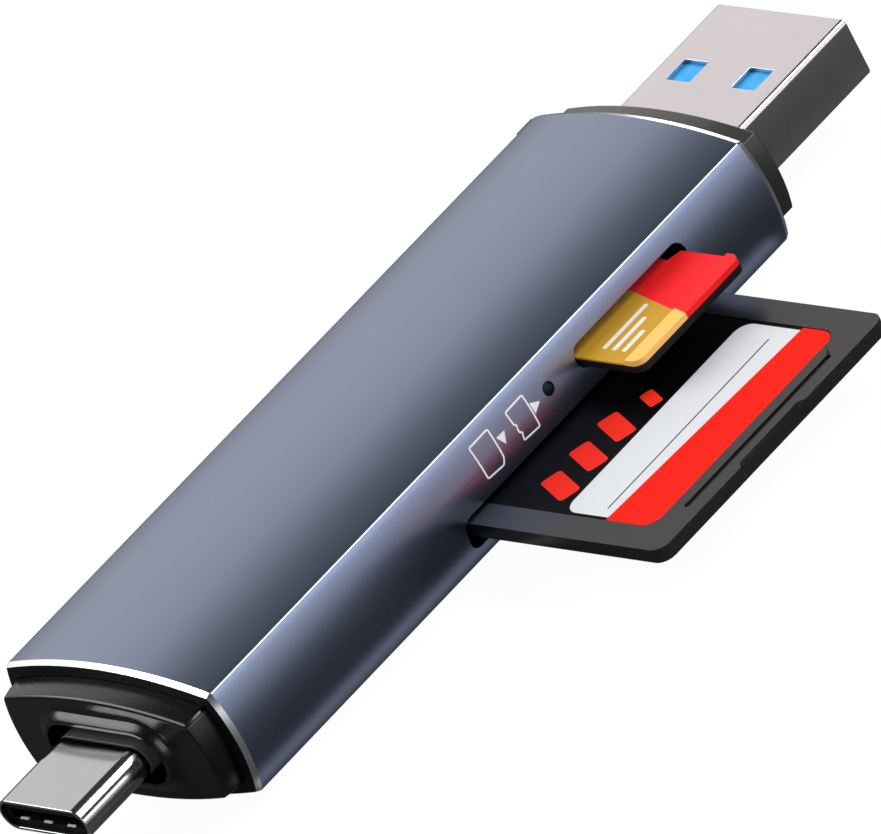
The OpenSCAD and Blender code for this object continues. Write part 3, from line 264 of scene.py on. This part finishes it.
# a skin over loops of points in millimetres, closed into a ring, capped at both ends, or open
def meshFromLoops(name, loops, closed=False, capped=False):
    bm = bmesh.new()
    rings = [[bm.verts.new(Vector(p) * mm) for p in loop] for loop in loops]
    pairs = list(zip(rings, rings[1:])) + ([(rings[-1], rings[0])] if closed else [])
    for a, b in pairs:
        for i in range(len(a)):
            j = (i + 1) % len(a)
            bm.faces.new((a[i], a[j], b[j], b[i]))
    if capped:
        bm.faces.new(reversed(rings[0]))
        bm.faces.new(rings[-1])
    bmesh.ops.recalc_face_normals(bm, faces=bm.faces)
    mesh = bpy.data.meshes.new(name)
    bm.to_mesh(mesh)
    bm.free()
    return mesh


# the tube's section, in millimetres: four arcs that meet at rounded ridges
section = dict(ridgeWidth=19.1, ridgeHeight=8.0, crownRise=1.149, sideRise=0.749, wall=1.0)
crownRadius = ((section["ridgeWidth"] / 2) ** 2 + section["crownRise"] ** 2) / (2 * section["crownRise"])
sideRadius = ((section["ridgeHeight"] / 2) ** 2 + section["sideRise"] ** 2) / (2 * section["sideRise"])
crownCentre = section["ridgeHeight"] / 2 + section["crownRise"] - crownRadius
sideCentre = section["ridgeWidth"] / 2 + section["sideRise"] - sideRadius


# where a ridge's round is centred, so that it touches the top's arc and the side's arc
def ridgeCentre(inset, ridge):
    r1 = crownRadius - inset - ridge
    r2 = sideRadius - inset - ridge
    apart = math.hypot(sideCentre, crownCentre)
    along = (r1 * r1 - r2 * r2 + apart * apart) / (2 * apart)
    off = math.sqrt(r1 * r1 - along * along)
    ux, uz = sideCentre / apart, -crownCentre / apart
    picks = [(along * ux - s * off * uz, crownCentre + along * uz + s * off * ux) for s in (1, -1)]
    return max(picks)


# one closed loop round the section, set in by inset, and by extra more with the ridges' centres kept
def sectionLoop(y, inset=0.0, ridge=0.4, extra=0.0, crownSteps=22, ridgeSteps=8, sideSteps=14):
    cx, cz = ridgeCentre(inset, ridge)
    crownAngle = math.atan2(cx, cz - crownCentre)
    sideAngle = math.atan2(cz, cx - sideCentre)
    quarter = []
    for i in range(crownSteps + 1):
        a = crownAngle * i / crownSteps
        r = crownRadius - inset - extra
        quarter.append((r * math.sin(a), crownCentre + r * math.cos(a)))
    start, end = math.pi / 2 - crownAngle, sideAngle
    for i in range(1, ridgeSteps):
        a = start + (end - start) * i / ridgeSteps
        quarter.append((cx + (ridge - extra) * math.cos(a), cz + (ridge - extra) * math.sin(a)))
    for i in range(sideSteps + 1):
        a = sideAngle * (1 - i / sideSteps)
        r = sideRadius - inset - extra
        quarter.append((sideCentre + r * math.cos(a), r * math.sin(a)))
    lower = [(x, -z) for x, z in reversed(quarter[:-1])]
    right = quarter + lower
    left = [(-x, z) for x, z in reversed(right[1:-1])]
    return [(x, y, z) for x, z in right + left]


# a loop of two straight lines and two half circles
def stadiumLoop(y, width, height, z, steps=16):
    half, r = (width - height) / 2, height / 2
    points = []
    for side, start in ((1, math.pi / 2), (-1, -math.pi / 2)):
        for i in range(steps + 1):
            a = start - math.pi * i / steps
            points.append((side * half + r * math.cos(a), y, z + r * math.sin(a)))
    return points


def applyModifiers(piece):
    shown = piece.evaluated_get(bpy.context.evaluated_depsgraph_get())
    solved = bpy.data.meshes.new_from_object(shown)
    piece.modifiers.clear()
    piece.data = solved


def cutAway(piece, cutters):
    made = []
    for mesh in cutters:
        cutter = bpy.data.objects.new("cutter", mesh)
        bpy.context.scene.collection.objects.link(cutter)
        cut = piece.modifiers.new("cut", "BOOLEAN")
        cut.operation = "DIFFERENCE"
        cut.solver = "EXACT"
        cut.object = cutter
        made.append(cutter)
    applyModifiers(piece)
    for cutter in made:
        bpy.data.objects.remove(cutter)


# a slot with rounded corners through the right side, drawn in Y and Z
def slotCutter(y, z, length, height, corner, x0=5.0, x1=12.0, steps=10):
    points = []
    for sy, sz, start in ((1, 1, 0), (-1, 1, 90), (-1, -1, 180), (1, -1, 270)):
        for i in range(steps + 1):
            a = math.radians(start + 90 * i / steps)
            points.append((y + sy * (length / 2 - corner) + corner * math.cos(a),
                           z + sz * (height / 2 - corner) + corner * math.sin(a)))
    return meshFromLoops("slot", [[(x, py, pz) for py, pz in points] for x in (x0, x1)], capped=True)


def boxCutter(low, high):
    loop = [(low[0], low[1]), (high[0], low[1]), (high[0], high[1]), (low[0], high[1])]
    return meshFromLoops("box", [[(x, y, z) for x, y in loop] for z in (low[2], high[2])], capped=True)


# camera: a long lens, turned and leaned as the photograph is. right and down are the picture's directions
view = dict(target=(-2.041, -24.854, -1.933), right=(0.6877, 0.6032, -0.4045),
            down=(0.0987, -0.6290, -0.7716), pixelsPerMm=15.5, width=881, focalPixels=25000,
            sensor=36, nearest=0.01, farthest=20)
right = Vector(view["right"]).normalized()
up = -Vector(view["down"])
up = (up - up.project(right)).normalized()
back = right.cross(up)
cameraData = bpy.data.cameras.new("camera")
camera = bpy.data.objects.new("camera", cameraData)
bpy.context.scene.collection.objects.link(camera)
cameraData.sensor_width = view["sensor"]
cameraData.sensor_fit = "HORIZONTAL"
cameraData.lens = view["sensor"] * view["focalPixels"] / view["width"]
cameraData.clip_start = view["nearest"]
cameraData.clip_end = view["farthest"]
camera.rotation_mode = "QUATERNION"
camera.rotation_quaternion = Matrix((right, up, back)).transposed().to_quaternion()
camera.location = (Vector(view["target"]) + back * view["focalPixels"] / view["pixelsPerMm"]) * mm
bpy.context.scene.camera = camera
bpy.context.scene.view_settings.view_transform = "Standard"
print("camera placed")

# studio: a grey floor that the camera sees as white paper, soft boxes and an even dim room
studio = dict(floor=(72, 72, 72), floorSize=8.0, floorCells=8, lift=0.965,
              room=(248, 251, 255), roomLight=0.07,
              # how bright metal sees the paper, by its distance beyond the tube on the cards' side: painted
              # shade, darker near the tube as if the reader shadowed it
              mirrored=[(0, 0.06), (2, 0.02), (10, 0.04), (20, 0.13), (38, 0.36), (55, 0.6), (85, 0.9)],
              # edge: a painted highlight, a bright strip of paper beside the tube that only metal sees
              edge=dict(width=1.1, soft=0.8, bright=0.42))


def buildStudio():
    cells = studio["floorCells"]
    bm = bmesh.new()
    bmesh.ops.create_grid(bm, x_segments=cells, y_segments=cells, size=studio["floorSize"] / 2)
    bmesh.ops.translate(bm, verts=bm.verts, vec=(0, 0, cadBox[0].z))
    mesh = bpy.data.meshes.new("floor")
    bm.to_mesh(mesh)
    bm.free()
    floor = bpy.data.objects.new("floor", mesh)
    bpy.context.scene.collection.objects.link(floor)
    paper = bpy.data.materials.new("floorPaper")
    paper.use_nodes = True
    tree = paper.node_tree
    tree.nodes.clear()
    out = addNode(tree, "OutputMaterial")
    matte = addNode(tree, "BsdfDiffuse")
    matte.inputs["Color"].default_value = screenColor(studio["floor"])
    shine = addNode(tree, "Emission")
    both = addNode(tree, "AddShader")
    path = addNode(tree, "LightPath")
    seen = mathNode(tree, "MULTIPLY", path.outputs["Is Camera Ray"], studio["lift"])
    # metal mirrors the paper too, with painted shade: brighter further away, darker near the tube where the
    # reader would shade it
    split = addNode(tree, "SeparateXYZ")
    tree.links.new(markSpace(tree, (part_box("housing_tube")[1].x / mm, 0)), split.inputs[0])
    reach = studio["mirrored"][-1][0]
    paintedShade = addNode(tree, "ValToRGB")
    tree.links.new(mathNode(tree, "DIVIDE", split.outputs["X"], reach), paintedShade.inputs["Fac"])
    stops = paintedShade.color_ramp.elements
    stops[1].position = 1
    for index, (away, bright) in enumerate(studio["mirrored"]):
        if index == 0:
            stop = stops[0]
        else:
            stop = stops[-1] if away == reach else stops.new(away / reach)
        stop.color = (bright, bright, bright, 1)
    mirrored = mathNode(tree, "MAXIMUM", path.outputs["Is Glossy Ray"], path.outputs["Is Transmission Ray"])
    # and a painted highlight: a narrow strip of paper right beside the tube glows brighter to metal
    low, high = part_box("housing_tube")
    edge = studio["edge"]
    beside = (high.x / mm + edge["width"] / 2, (low.y + high.y) / 2 / mm)
    paintedStrip = boxMask(tree, beside, (edge["width"], (high.y - low.y) / mm), edge=edge["soft"])
    paintedStrip = mathNode(tree, "MULTIPLY", paintedStrip, edge["bright"])
    mirrored = mathNode(tree, "MULTIPLY", mirrored, mathNode(tree, "ADD", paintedShade.outputs["Color"], paintedStrip))
    tree.links.new(mathNode(tree, "ADD", seen, mirrored), shine.inputs["Strength"])
    tree.links.new(matte.outputs[0], both.inputs[0])
    tree.links.new(shine.outputs[0], both.inputs[1])
    tree.links.new(both.outputs[0], out.inputs[0])
    mesh.materials.append(paper)
    world = bpy.data.worlds.new("room")
    world.use_nodes = True
    background = world.node_tree.nodes["Background"]
    background.inputs["Color"].default_value = screenColor(studio["room"])
    background.inputs["Strength"].default_value = studio["roomLight"]
    bpy.context.scene.world = world


# each soft box is a strip along the reader: its angles round the long axis, in degrees from the cards' side
# upwards, the stretch that it covers along that axis and its distance, in metres from the view's target, and
# how bright it looks (1 is white)
softBoxes = dict(
    leftSky=dict(angles=(129.5, 172), along=(-0.13, 2.6), distance=1.5, bright=1.07, tint=(255, 252, 245)),
    rightSide=dict(angles=(5, 24), along=(-0.13, 2.6), distance=1.5, bright=2.5, tint=(255, 254, 255)),
    ridgeLight=dict(angles=(45, 80), along=(0.45, 1.2), distance=1.5, bright=8.5, tint=(252, 253, 255)),
    endLight=dict(angles=(168, 180), along=(1.3, 2.1), distance=1.5, bright=4.0, tint=(255, 255, 255)),
    key=dict(angles=(112, 154), along=(-1.4, -0.15), distance=1.5, bright=5.0, tint=(255, 255, 253)),
    frontFill=dict(angles=(0, 45), along=(-2.4, -1.1), distance=1.5, bright=3.6, tint=(255, 255, 255)),
)


def buildSoftBoxes():
    middle = Vector(view["target"]) * mm
    for name, box in softBoxes.items():
        start, end = (math.radians(a) for a in box["angles"])
        y0, y1 = box["along"]
        turn, width = (start + end) / 2, 2 * box["distance"] * math.tan((end - start) / 2)
        data = bpy.data.lights.new(name, "AREA")
        data.shape = "RECTANGLE"
        data.size, data.size_y = y1 - y0, width
        data.energy = box["bright"] * math.pi * data.size * data.size_y
        data.color = screenColor(box["tint"])[:3]
        lamp = bpy.data.objects.new(name, data)
        bpy.context.scene.collection.objects.link(lamp)
        toward = Vector((math.cos(turn), 0, math.sin(turn)))
        along = Vector((0, 1, 0))
        lamp.location = middle + toward * box["distance"] + along * (y0 + y1) / 2
        lamp.rotation_mode = "QUATERNION"
        lamp.rotation_quaternion = Matrix((along, toward.cross(along), toward)).transposed().to_quaternion()
        lamp.visible_camera = False


buildStudio()
buildSoftBoxes()
print("studio built")

# housing: satin anodised aluminium with bright chamfers, and end faces painted near black as painted shade
housing = dict(y0=-58.6, y1=-1.9, chamferLength=0.4, chamferDepth=0.18, ridge=0.3, innerRidge=0.1,
               slotEdge=0.05, slotEdgeAngle=35, smoothAngle=18,
               sdSlot=dict(y=-23.25, z=-1.75, length=24.7, height=2.5, corner=0.9),
               microSlot=dict(y=-16.0, z=1.73, length=11.7, height=1.8, corner=0.9),
               lampHole=dict(y=-24.7, z=1.85, diameter=1.0),
               # the notch that the USB-A insert's lug goes through, from beyond the lug to x
               lugNotch=dict(beyond=1, x=-8.1, y0=-3.7, y1=-1, z=3.65),
               # a face within the ends looks along the tube by this much: a chamfer, or the end itself
               chamferFacing=0.2, endFacing=0.95)
housingLook = dict(color=(125, 135, 160), color2=(129, 139, 164), patch=9, rough=(0.285, 0.305), grain=0.06,
                   stretch=(1, 0.15, 1), metal=1)
cutLook = dict(color=(236, 237, 240), color2=(228, 229, 232), patch=3, rough=(0.14, 0.22), grain=0.1,
               metal=1)
# painted shade: the end faces are near black, as if in shade
endShadeLook = dict(color=(12, 12, 13), color2=(16, 16, 17), patch=3, rough=(0.5, 0.6), grain=0.1, specular=0.2)


def buildHousing():
    h = housing
    outer = [sectionLoop(h["y0"], ridge=h["ridge"], extra=h["chamferDepth"]),
             sectionLoop(h["y0"] + h["chamferLength"], ridge=h["ridge"]),
             sectionLoop(h["y1"] - h["chamferLength"], ridge=h["ridge"]),
             sectionLoop(h["y1"], ridge=h["ridge"], extra=h["chamferDepth"])]
    inner = [sectionLoop(y, inset=section["wall"], ridge=h["innerRidge"]) for y in (h["y1"], h["y0"])]
    mesh = meshFromLoops("housing_shell", outer + inner, closed=True)
    material = surface("satinAluminium", housingLook)
    piece = addPiece("housing_shell", mesh, "reader", "housing", material, "housing_tube")
    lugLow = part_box("usb_a_end_insert")[0]
    sd, micro, hole, notch = h["sdSlot"], h["microSlot"], h["lampHole"], h["lugNotch"]
    bare = 0.001  # millimetres of straight side kept beside a round
    cutAway(piece, [
        slotCutter(sd["y"], sd["z"], sd["length"], sd["height"], sd["corner"]),
        slotCutter(micro["y"], micro["z"], micro["length"], micro["height"], micro["corner"] - bare),
        slotCutter(hole["y"], hole["z"], hole["diameter"], hole["diameter"], hole["diameter"] / 2 - bare),
        boxCutter((lugLow.x / mm - notch["beyond"], notch["y0"], -notch["z"]),
                  (notch["x"], notch["y1"], notch["z"])),
    ])
    # the end chamfers are cut after the anodising, so they are bare metal; the end faces get painted shade,
    # a near-black colour
    piece.data.materials.append(surface("brightCut", cutLook))
    piece.data.materials.append(surface("endPaintedShade", endShadeLook))
    for face in piece.data.polygons:
        y = face.center.y / mm
        atEnd = y < h["y0"] + h["chamferLength"] or y > h["y1"] - h["chamferLength"]
        if atEnd and abs(face.normal.y) > h["endFacing"]:
            face.material_index = 2
        elif atEnd and abs(face.normal.y) > h["chamferFacing"]:
            face.material_index = 1
    smoothMesh(piece.data, h["smoothAngle"])
    roundEdges(piece, h["slotEdge"], angle=h["slotEdgeAngle"])


buildHousing()
print("housing built")

# end inserts
insertALook = dict(color=(38, 40, 38), color2=(44, 46, 44), patch=3, rough=(0.32, 0.42), grain=0.1,
                   depth=0.004, coat=0.3)
insertCLook = dict(color=(7, 7, 7), color2=(9, 9, 9), patch=4, rough=(0.2, 0.28), grain=0.2, depth=0.003,
                   specular=0.5)
finishNode("usb_a_end_insert", "a_insert", surface("insertGrey", insertALook), edge=0.06)

# the USB-C end's insert. recess and hole say how much wider and higher than the plug they are, and rim is
# the rim's side view, as distances outside the recess and in front of the face
insertC = dict(face=-60.5, back=-57.6, clearance=0.05, taperDepth=0.12, taperLength=0.68, bevel=0.27,
               bevelSteps=4, ridge=0.5, flat=0.05, smoothAngle=28, recess=(2.25, 1.6), recessDepth=0.9,
               hole=0.1, holeDepth=2.0,
               rim=[(1.25, 0.0), (1.15, 0.0), (1.0, 0.03), (0.74, 0.12), (0.5475, 0.33), (0.38, 0.54),
                    (0.27, 0.6), (0.08, 0.6), (0.02, 0.58), (0.0, 0.52)])


def buildInsertC():
    n = insertC
    inset = section["wall"] + n["clearance"]
    low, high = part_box("usb_c_shell")
    plugZ = (low.z + high.z) / 2 / mm
    plugWidth, plugHeight = (high.x - low.x) / mm, (high.z - low.z) / mm
    loops = [sectionLoop(n["back"], inset, n["ridge"]),
             sectionLoop(n["face"] + n["bevel"] + n["taperLength"], inset, n["ridge"]),
             sectionLoop(n["face"] + n["bevel"], inset, n["ridge"], n["taperDepth"])]
    for i in range(1, n["bevelSteps"] + 1):
        a = math.pi / 2 * i / n["bevelSteps"]
        loops.append(sectionLoop(n["face"] + n["bevel"] * (1 - math.sin(a)), inset, n["ridge"],
                                 n["taperDepth"] + n["bevel"] * (1 - math.cos(a))))
    # one more loop, so that the face stays flat up to its rounded edge
    loops.append(sectionLoop(n["face"], inset, n["ridge"], n["taperDepth"] + n["bevel"] + n["flat"]))
    recessWidth, recessHeight = plugWidth + n["recess"][0], plugHeight + n["recess"][1]
    rim = []
    for out, forward in n["rim"] + [(0.0, -n["recessDepth"])]:
        rim.append(stadiumLoop(n["face"] - forward, recessWidth + 2 * out, recessHeight + 2 * out, plugZ))
    for depth in (n["recessDepth"], n["holeDepth"]):
        rim.append(stadiumLoop(n["face"] + depth, plugWidth + n["hole"], plugHeight + n["hole"], plugZ))
    bm = bmesh.new()
    skins = []
    for group in (loops, rim):
        rings = [[bm.verts.new(Vector(p) * mm) for p in loop] for loop in group]
        for a, b in zip(rings, rings[1:]):
            for i in range(len(a)):
                j = (i + 1) % len(a)
                bm.faces.new((a[i], a[j], b[j], b[i]))
        skins.append(rings)
    # the flat face fills the space between the rounded edge and the rim
    edges = []
    for ring in (skins[0][-1], skins[1][0]):
        for i in range(len(ring)):
            pair = (ring[i], ring[(i + 1) % len(ring)])
            edges.append(bm.edges.get(pair) or bm.edges.new(pair))
    bmesh.ops.triangle_fill(bm, edges=edges, use_beauty=True)
    bmesh.ops.recalc_face_normals(bm, faces=bm.faces)
    mesh = bpy.data.meshes.new("usb_c_insert_shell")
    bm.to_mesh(mesh)
    bm.free()
    smoothMesh(mesh, n["smoothAngle"])
    black = surface("insertBlack", insertCLook)
    addPiece("usb_c_insert_shell", mesh, "reader", "c_insert", black, "usb_c_end_insert")


buildInsertC()
print("end inserts built")

# plugs
steelLook = dict(color=(205, 199, 205), color2=(200, 194, 200), patch=5, rough=(0.16, 0.24), grain=0.1,
                 stretch=(1, 0.2, 1), depth=0.002, metal=1)
steelCLook = dict(color=(179, 180, 184), color2=(174, 175, 179), patch=4, rough=(0.10, 0.16), grain=0.2,
                  metal=1)
# painted shade: a dark, dull steel for the inside of the USB-C mouth
insideShadeLook = dict(color=(34, 34, 36), color2=(28, 28, 30), patch=2, rough=(0.45, 0.55), grain=0.1,
                  metal=0.8)
# painted glint: near-white and hardly metallic, so the earth fingers show as bright glints
fingerGlintLook = dict(color=(252, 252, 250), color2=(244, 244, 242), patch=1, rough=(0.25, 0.35), grain=0.1,
                  metal=0.2)
collarLook = dict(color=(88, 88, 89), color2=(82, 82, 83), patch=3, rough=(0.25, 0.35), grain=0.1,
                  metal=0.1)
blueLook = dict(color=(15, 140, 240), color2=(95, 210, 255), patch=1.2, rough=(0.4, 0.5), grain=0.1,
                depth=0.003, specular=0.2)
blackLook = dict(color=(8, 8, 8), color2=(12, 12, 12), patch=2, rough=(0.35, 0.45), grain=0.08,
                 depth=0.003, specular=0.25)
goldLook = dict(color=(255, 205, 110), color2=(245, 190, 95), patch=1, rough=(0.2, 0.3), grain=0.1,
                metal=1)
springLook = dict(color=(200, 200, 203), color2=(188, 188, 192), patch=2, rough=(0.25, 0.35), grain=0.1,
                  metal=1)
finishNode("usb_a_shell", "bright_steel", surface("pressedSteel", steelLook), edge=0.04)
shellC = finishNode("usb_c_shell", "bright_steel", surface("drawnSteel", steelCLook), edge=0.09, segments=3)
# the shell is dull inside and darkened there with painted shade, but not on its front edge
shellC.data.materials.append(surface("shellInsidePaintedShade", insideShadeLook))
for face in shellC.data.polygons:
    inward = face.normal.x * face.center.x + face.normal.z * face.center.z < 0
    if inward and abs(face.normal.y) < 0.5:
        face.material_index = 1
finishNode("usb_c_rear_shell", "dark_steel", surface("darkCollar", collarLook), edge=0.04)
paintNodes("bluePlastic", blueLook, "usb_a_insulator")
paintNodes("blackPlastic", blackLook, "usb_c_insulator", "sd_socket_frame", "microsd_socket_frame")
paintNodes("goldPlate", goldLook, "usb_a_contacts", "usb_c_contacts", "sd_socket_contacts",
           "microsd_socket_contacts", "sd_card_pads", "microsd_pads")
paintNodes("springSteel", springLook, "usb_c_latch_springs", "sd_socket_cover", "microsd_socket_cover")

# three earth fingers lie over the lower lip of the USB-C plug's insulator, a hair off it
fingers = dict(middles=(-2.3, -0.1, 2.1), width=0.75, reach=0.12, lip=0.04, sheet=0.04, slotHalf=0.4,
               hair=0.005)


def buildFingers():
    f = fingers
    low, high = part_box("usb_c_insulator")
    front, top, sheet, hair = low.y / mm, -f["slotHalf"], f["sheet"], f["hair"]
    back, lip = front + f["reach"], top - f["lip"]
    side = [(front - sheet, top + sheet), (back, top + sheet), (back, top + hair),
            (front - hair, top + hair), (front - hair, lip), (front - sheet, lip)]
    # the fingers' near-white colour is a painted glint
    shine = surface("fingerSteelGlint", fingerGlintLook)
    for index, x in enumerate(f["middles"]):
        name = "usb_c_earth_finger_" + str(index + 1)
        loops = [[(x + s * f["width"] / 2, y, z) for y, z in side] for s in (-1, 1)]
        addPiece(name, meshFromLoops(name, loops, capped=True), "reader", "bright_steel", shine)


buildFingers()
print("plugs built")

# what is inside
boardLook = dict(color=(22, 84, 52), color2=(26, 94, 58), patch=2, rough=(0.3, 0.4), grain=0.3,
                 depth=0.005, coat=0.3)
chipLook = dict(color=(26, 26, 28), color2=(32, 32, 34), patch=1, rough=(0.45, 0.6), grain=0.06,
                depth=0.006)
canLook = dict(color=(196, 194, 188), color2=(186, 184, 178), patch=1, rough=(0.25, 0.35), grain=0.1,
               metal=1)
capacitorLook = dict(color=(164, 138, 106), color2=(152, 126, 96), patch=0.5, rough=(0.45, 0.6), grain=0.05,
                     depth=0.004)
resistorLook = dict(color=(34, 34, 38), color2=(42, 42, 46), patch=0.5, rough=(0.4, 0.5), grain=0.05,
                    depth=0.004)
lampLook = dict(color=(226, 232, 240), color2=(214, 222, 232), patch=0.5, rough=(0.2, 0.3), grain=0.1)
paintNodes("boardGreen", boardLook, "circuit_board", "sd_card_board")
paintNodes("chipBlack", chipLook, "controller_chip", "sd_card_memory", "regulator")
paintNodes("crystalCan", canLook, "crystal")
paintNodes("capacitorTan", capacitorLook, "chip_capacitors")
paintNodes("resistorDark", resistorLook, "chip_resistors")
paintNodes("lampClear", lampLook, "status_led")
print("inside painted")

# SD card
cardLook = dict(color=(14, 14, 15), color2=(18, 18, 19), patch=6, rough=(0.3, 0.36), grain=0.06,
                depth=0.003, specular=0.45)
cardUnderLook = dict(color=(24, 24, 25), color2=(28, 28, 29), patch=6, rough=(0.35, 0.45), grain=0.06,
                     depth=0.003)
sliderLook = dict(color=(206, 206, 200), color2=(198, 198, 192), patch=1, rough=(0.35, 0.45), grain=0.05,
                  depth=0.003)
finishNode("sd_card_top_shell", "card_grey", surface("cardTop", cardLook), edge=0.07)
finishNode("sd_card_bottom_shell", "card_grey", surface("cardUnder", cardUnderLook), edge=0.07)
finishNode("write_protect_slider", "slider", surface("sliderPale", sliderLook), edge=0.05)


# a print's fields, painted in turn, each measured in millimetres from the card's outer edge and its middle
def paintFields(tree, color, fields, low, high):
    for field in fields:
        spot = (high.x / mm + field["at"][0], (low.y + high.y) / 2 / mm + field["at"][1])
        mask = boxMask(tree, spot, field["size"], field.get("corner", 0), field.get("turn", 0))
        color = mixColor(tree, mask, color, screenColor(field["color"]))
    return color


# the label: black, with a white field, a red one cut on a slant, a thin line and slanted red blocks
redBlock = dict(size=(3.4, 1.6), corner=0.3, turn=-24, color=(246, 48, 34))
labelPrint = dict(
    edge=0.01,
    look=dict(color=(3, 2, 3), color2=(5, 4, 5), patch=3, rough=(0.45, 0.52), grain=0.3, specular=0.05),
    fields=[
        dict(at=(-4.3, 0.0), size=(8.2, 19.2), corner=1.1, color=(221, 223, 227)),
        dict(at=(-1.5, 0.0), size=(4.4, 26.0), turn=-3.5, color=(250, 30, 16)),
        dict(at=(-5.0, -0.2), size=(0.12, 17.2), color=(28, 34, 44)),
        dict(redBlock, at=(-10.6, -7.4)),
        dict(redBlock, at=(-10.6, -4.4)),
        dict(redBlock, at=(-10.6, -1.4)),
        dict(redBlock, at=(-10.0, 1.6), size=(2.0, 1.0), corner=0.2),
    ])


def paintLabel(tree, color):
    low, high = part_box("sd_card_label")
    return paintFields(tree, color, labelPrint["fields"], low, high)


printed = surface("labelPrint", labelPrint["look"], paintLabel)
finishNode("sd_card_label", "label", printed, labelPrint["edge"])

# micro SD card: gold ink over most of it, with a red field cut on a slant and white strokes
whiteStroke = dict(corner=0.1, color=(240, 238, 232))
microPrint = dict(
    edge=0.05,
    look=dict(color=(206, 156, 48), color2=(214, 164, 58), patch=2, rough=(0.4, 0.5), grain=0.2,
              specular=0.12),
    fields=[
        dict(at=(-3.0, 3.9), size=(16.0, 7.0), turn=-14, color=(255, 36, 40)),
        dict(whiteStroke, at=(-2.5, -3.3), size=(0.4, 2.2)),
        dict(whiteStroke, at=(-3.4, -2.7), size=(0.4, 3.4)),
        dict(whiteStroke, at=(-4.3, -2.1), size=(0.4, 4.6)),
    ],
    lip=1.55, lipSoft=0.05, lipGain=1.35, lipWhite=0.11,
    plastic=(24, 24, 25), printFrom=0.55, printSoft=0.02)


def paintMicro(tree, color):
    low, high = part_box("microsd_card")
    # the gold is paler on the raised lip
    place = addNode(tree, "TexCoord")
    split = addNode(tree, "SeparateXYZ")
    tree.links.new(place.outputs["Object"], split.inputs[0])
    onLip = mathNode(tree, "SUBTRACT", split.outputs["X"], high.x - microPrint["lip"] * mm)
    onLip = mathNode(tree, "DIVIDE", onLip, microPrint["lipSoft"] * mm, clamp=True)
    pale = vectorNode(tree, "MULTIPLY", color, (microPrint["lipGain"],) * 3)
    pale = vectorNode(tree, "ADD", pale, (microPrint["lipWhite"],) * 3)
    pale = vectorNode(tree, "MINIMUM", pale, (1, 1, 1))
    color = mixColor(tree, onLip, color, pale)
    color = paintFields(tree, color, microPrint["fields"], low, high)
    # and the print is only on the upper side, the rest is dark plastic
    height = mathNode(tree, "SUBTRACT", split.outputs["Z"], low.z + microPrint["printFrom"] * mm)
    upper = mathNode(tree, "DIVIDE", height, microPrint["printSoft"] * mm, clamp=True)
    return mixColor(tree, upper, screenColor(microPrint["plastic"]), color)


printed = surface("microPrint", microPrint["look"], paintMicro)
finishNode("microsd_card", "micro_card", printed, microPrint["edge"])
print("cards built")

# white marks beside the slots, drawn in Y and Z: a card's outline and an arrow head for each
marks = dict(
    line=0.13, proud=0.012, rounding=0.14, longest=0.4, cuts=4,
    outlines=dict(
        mark_micro_outline=[(-26.66, 2.9), (-28.45, 2.86), (-28.42, 1.86), (-28.24, 1.72), (-28.36, 1.5),
                            (-28.36, 1.2), (-28.16, 1.1), (-28.34, 0.55), (-26.74, 0.45)],
        mark_sd_outline=[(-30.25, 2.98), (-32.2, 2.96), (-32.2, 0.5), (-30.62, 0.38), (-30.34, 0.78)]),
    arrows=dict(mark_micro_arrow=[(-26.56, 2.14), (-25.78, 1.72), (-26.56, 1.3)],
                mark_sd_arrow=[(-30.08, 2.13), (-29.24, 2.11), (-29.67, 1.33)]))
markLook = dict(color=(255, 255, 255), color2=(250, 250, 252), patch=0.6, rough=(0.4, 0.5), grain=0.05)


# a closed path with its corners rounded, by at most this share of the lines beside them
def roundedPath(points, radius, share=0.4, steps=4):
    path = []
    for i, point in enumerate(points):
        before, here, after = Vector(points[i - 1]), Vector(point), Vector(points[(i + 1) % len(points)])
        reach = min(radius, (before - here).length * share, (after - here).length * share)
        a = here + (before - here).normalized() * reach
        b = here + (after - here).normalized() * reach
        for s in range(steps + 1):
            t = s / steps
            path.append(a.lerp(here, t).lerp(here.lerp(b, t), t))
    return path


# a line of even width along a closed path, in the plane x = 0
def drawLine(bm, path, width):
    same = 1e-6  # points nearer than this are one point
    rings = []
    for side in (-0.5, 0.5):
        ring = []
        for i, here in enumerate(path):
            before, after = here - path[i - 1], path[(i + 1) % len(path)] - here
            first = (before if before.length > same else after).normalized()
            second = after.normalized() if after.length > same else first
            along = (first + second).normalized()
            out = Vector((along.y, -along.x))
            ring.append(bm.verts.new((0, *(here + out * width * side))))
        rings.append(ring)
    for i in range(len(path)):
        j = (i + 1) % len(path)
        bm.faces.new((rings[0][i], rings[0][j], rings[1][j], rings[1][i]))


# where the tube's right side lies at a height, and a little proud of it
def sideSurface(z, proud):
    return sideCentre + math.sqrt(sideRadius ** 2 - z ** 2) + proud


def buildMarks():
    ink = surface("markInk", markLook)
    for name, points in {**marks["outlines"], **marks["arrows"]}.items():
        bm = bmesh.new()
        if name in marks["outlines"]:
            drawLine(bm, roundedPath(points, marks["rounding"]), marks["line"])
        else:
            bm.faces.new([bm.verts.new((0, y, z)) for y, z in points])
        # short edges let the mark follow the tube's curve
        edges = [edge for edge in bm.edges if edge.calc_length() > marks["longest"]]
        bmesh.ops.subdivide_edges(bm, edges=edges, cuts=marks["cuts"], use_grid_fill=True)
        bmesh.ops.triangulate(bm, faces=bm.faces)
        for vert in bm.verts:
            vert.co = Vector((sideSurface(vert.co.z, marks["proud"]), vert.co.y, vert.co.z)) * mm
        bmesh.ops.recalc_face_normals(bm, faces=bm.faces)
        bm.normal_update()
        if sum(face.normal.x for face in bm.faces) < 0:
            bmesh.ops.reverse_faces(bm, faces=bm.faces)
        mesh = bpy.data.meshes.new(name)
        bm.to_mesh(mesh)
        bm.free()
        addPiece(name, mesh, "reader", "label", ink)


buildMarks()
print("marks built")

print("scene ready")
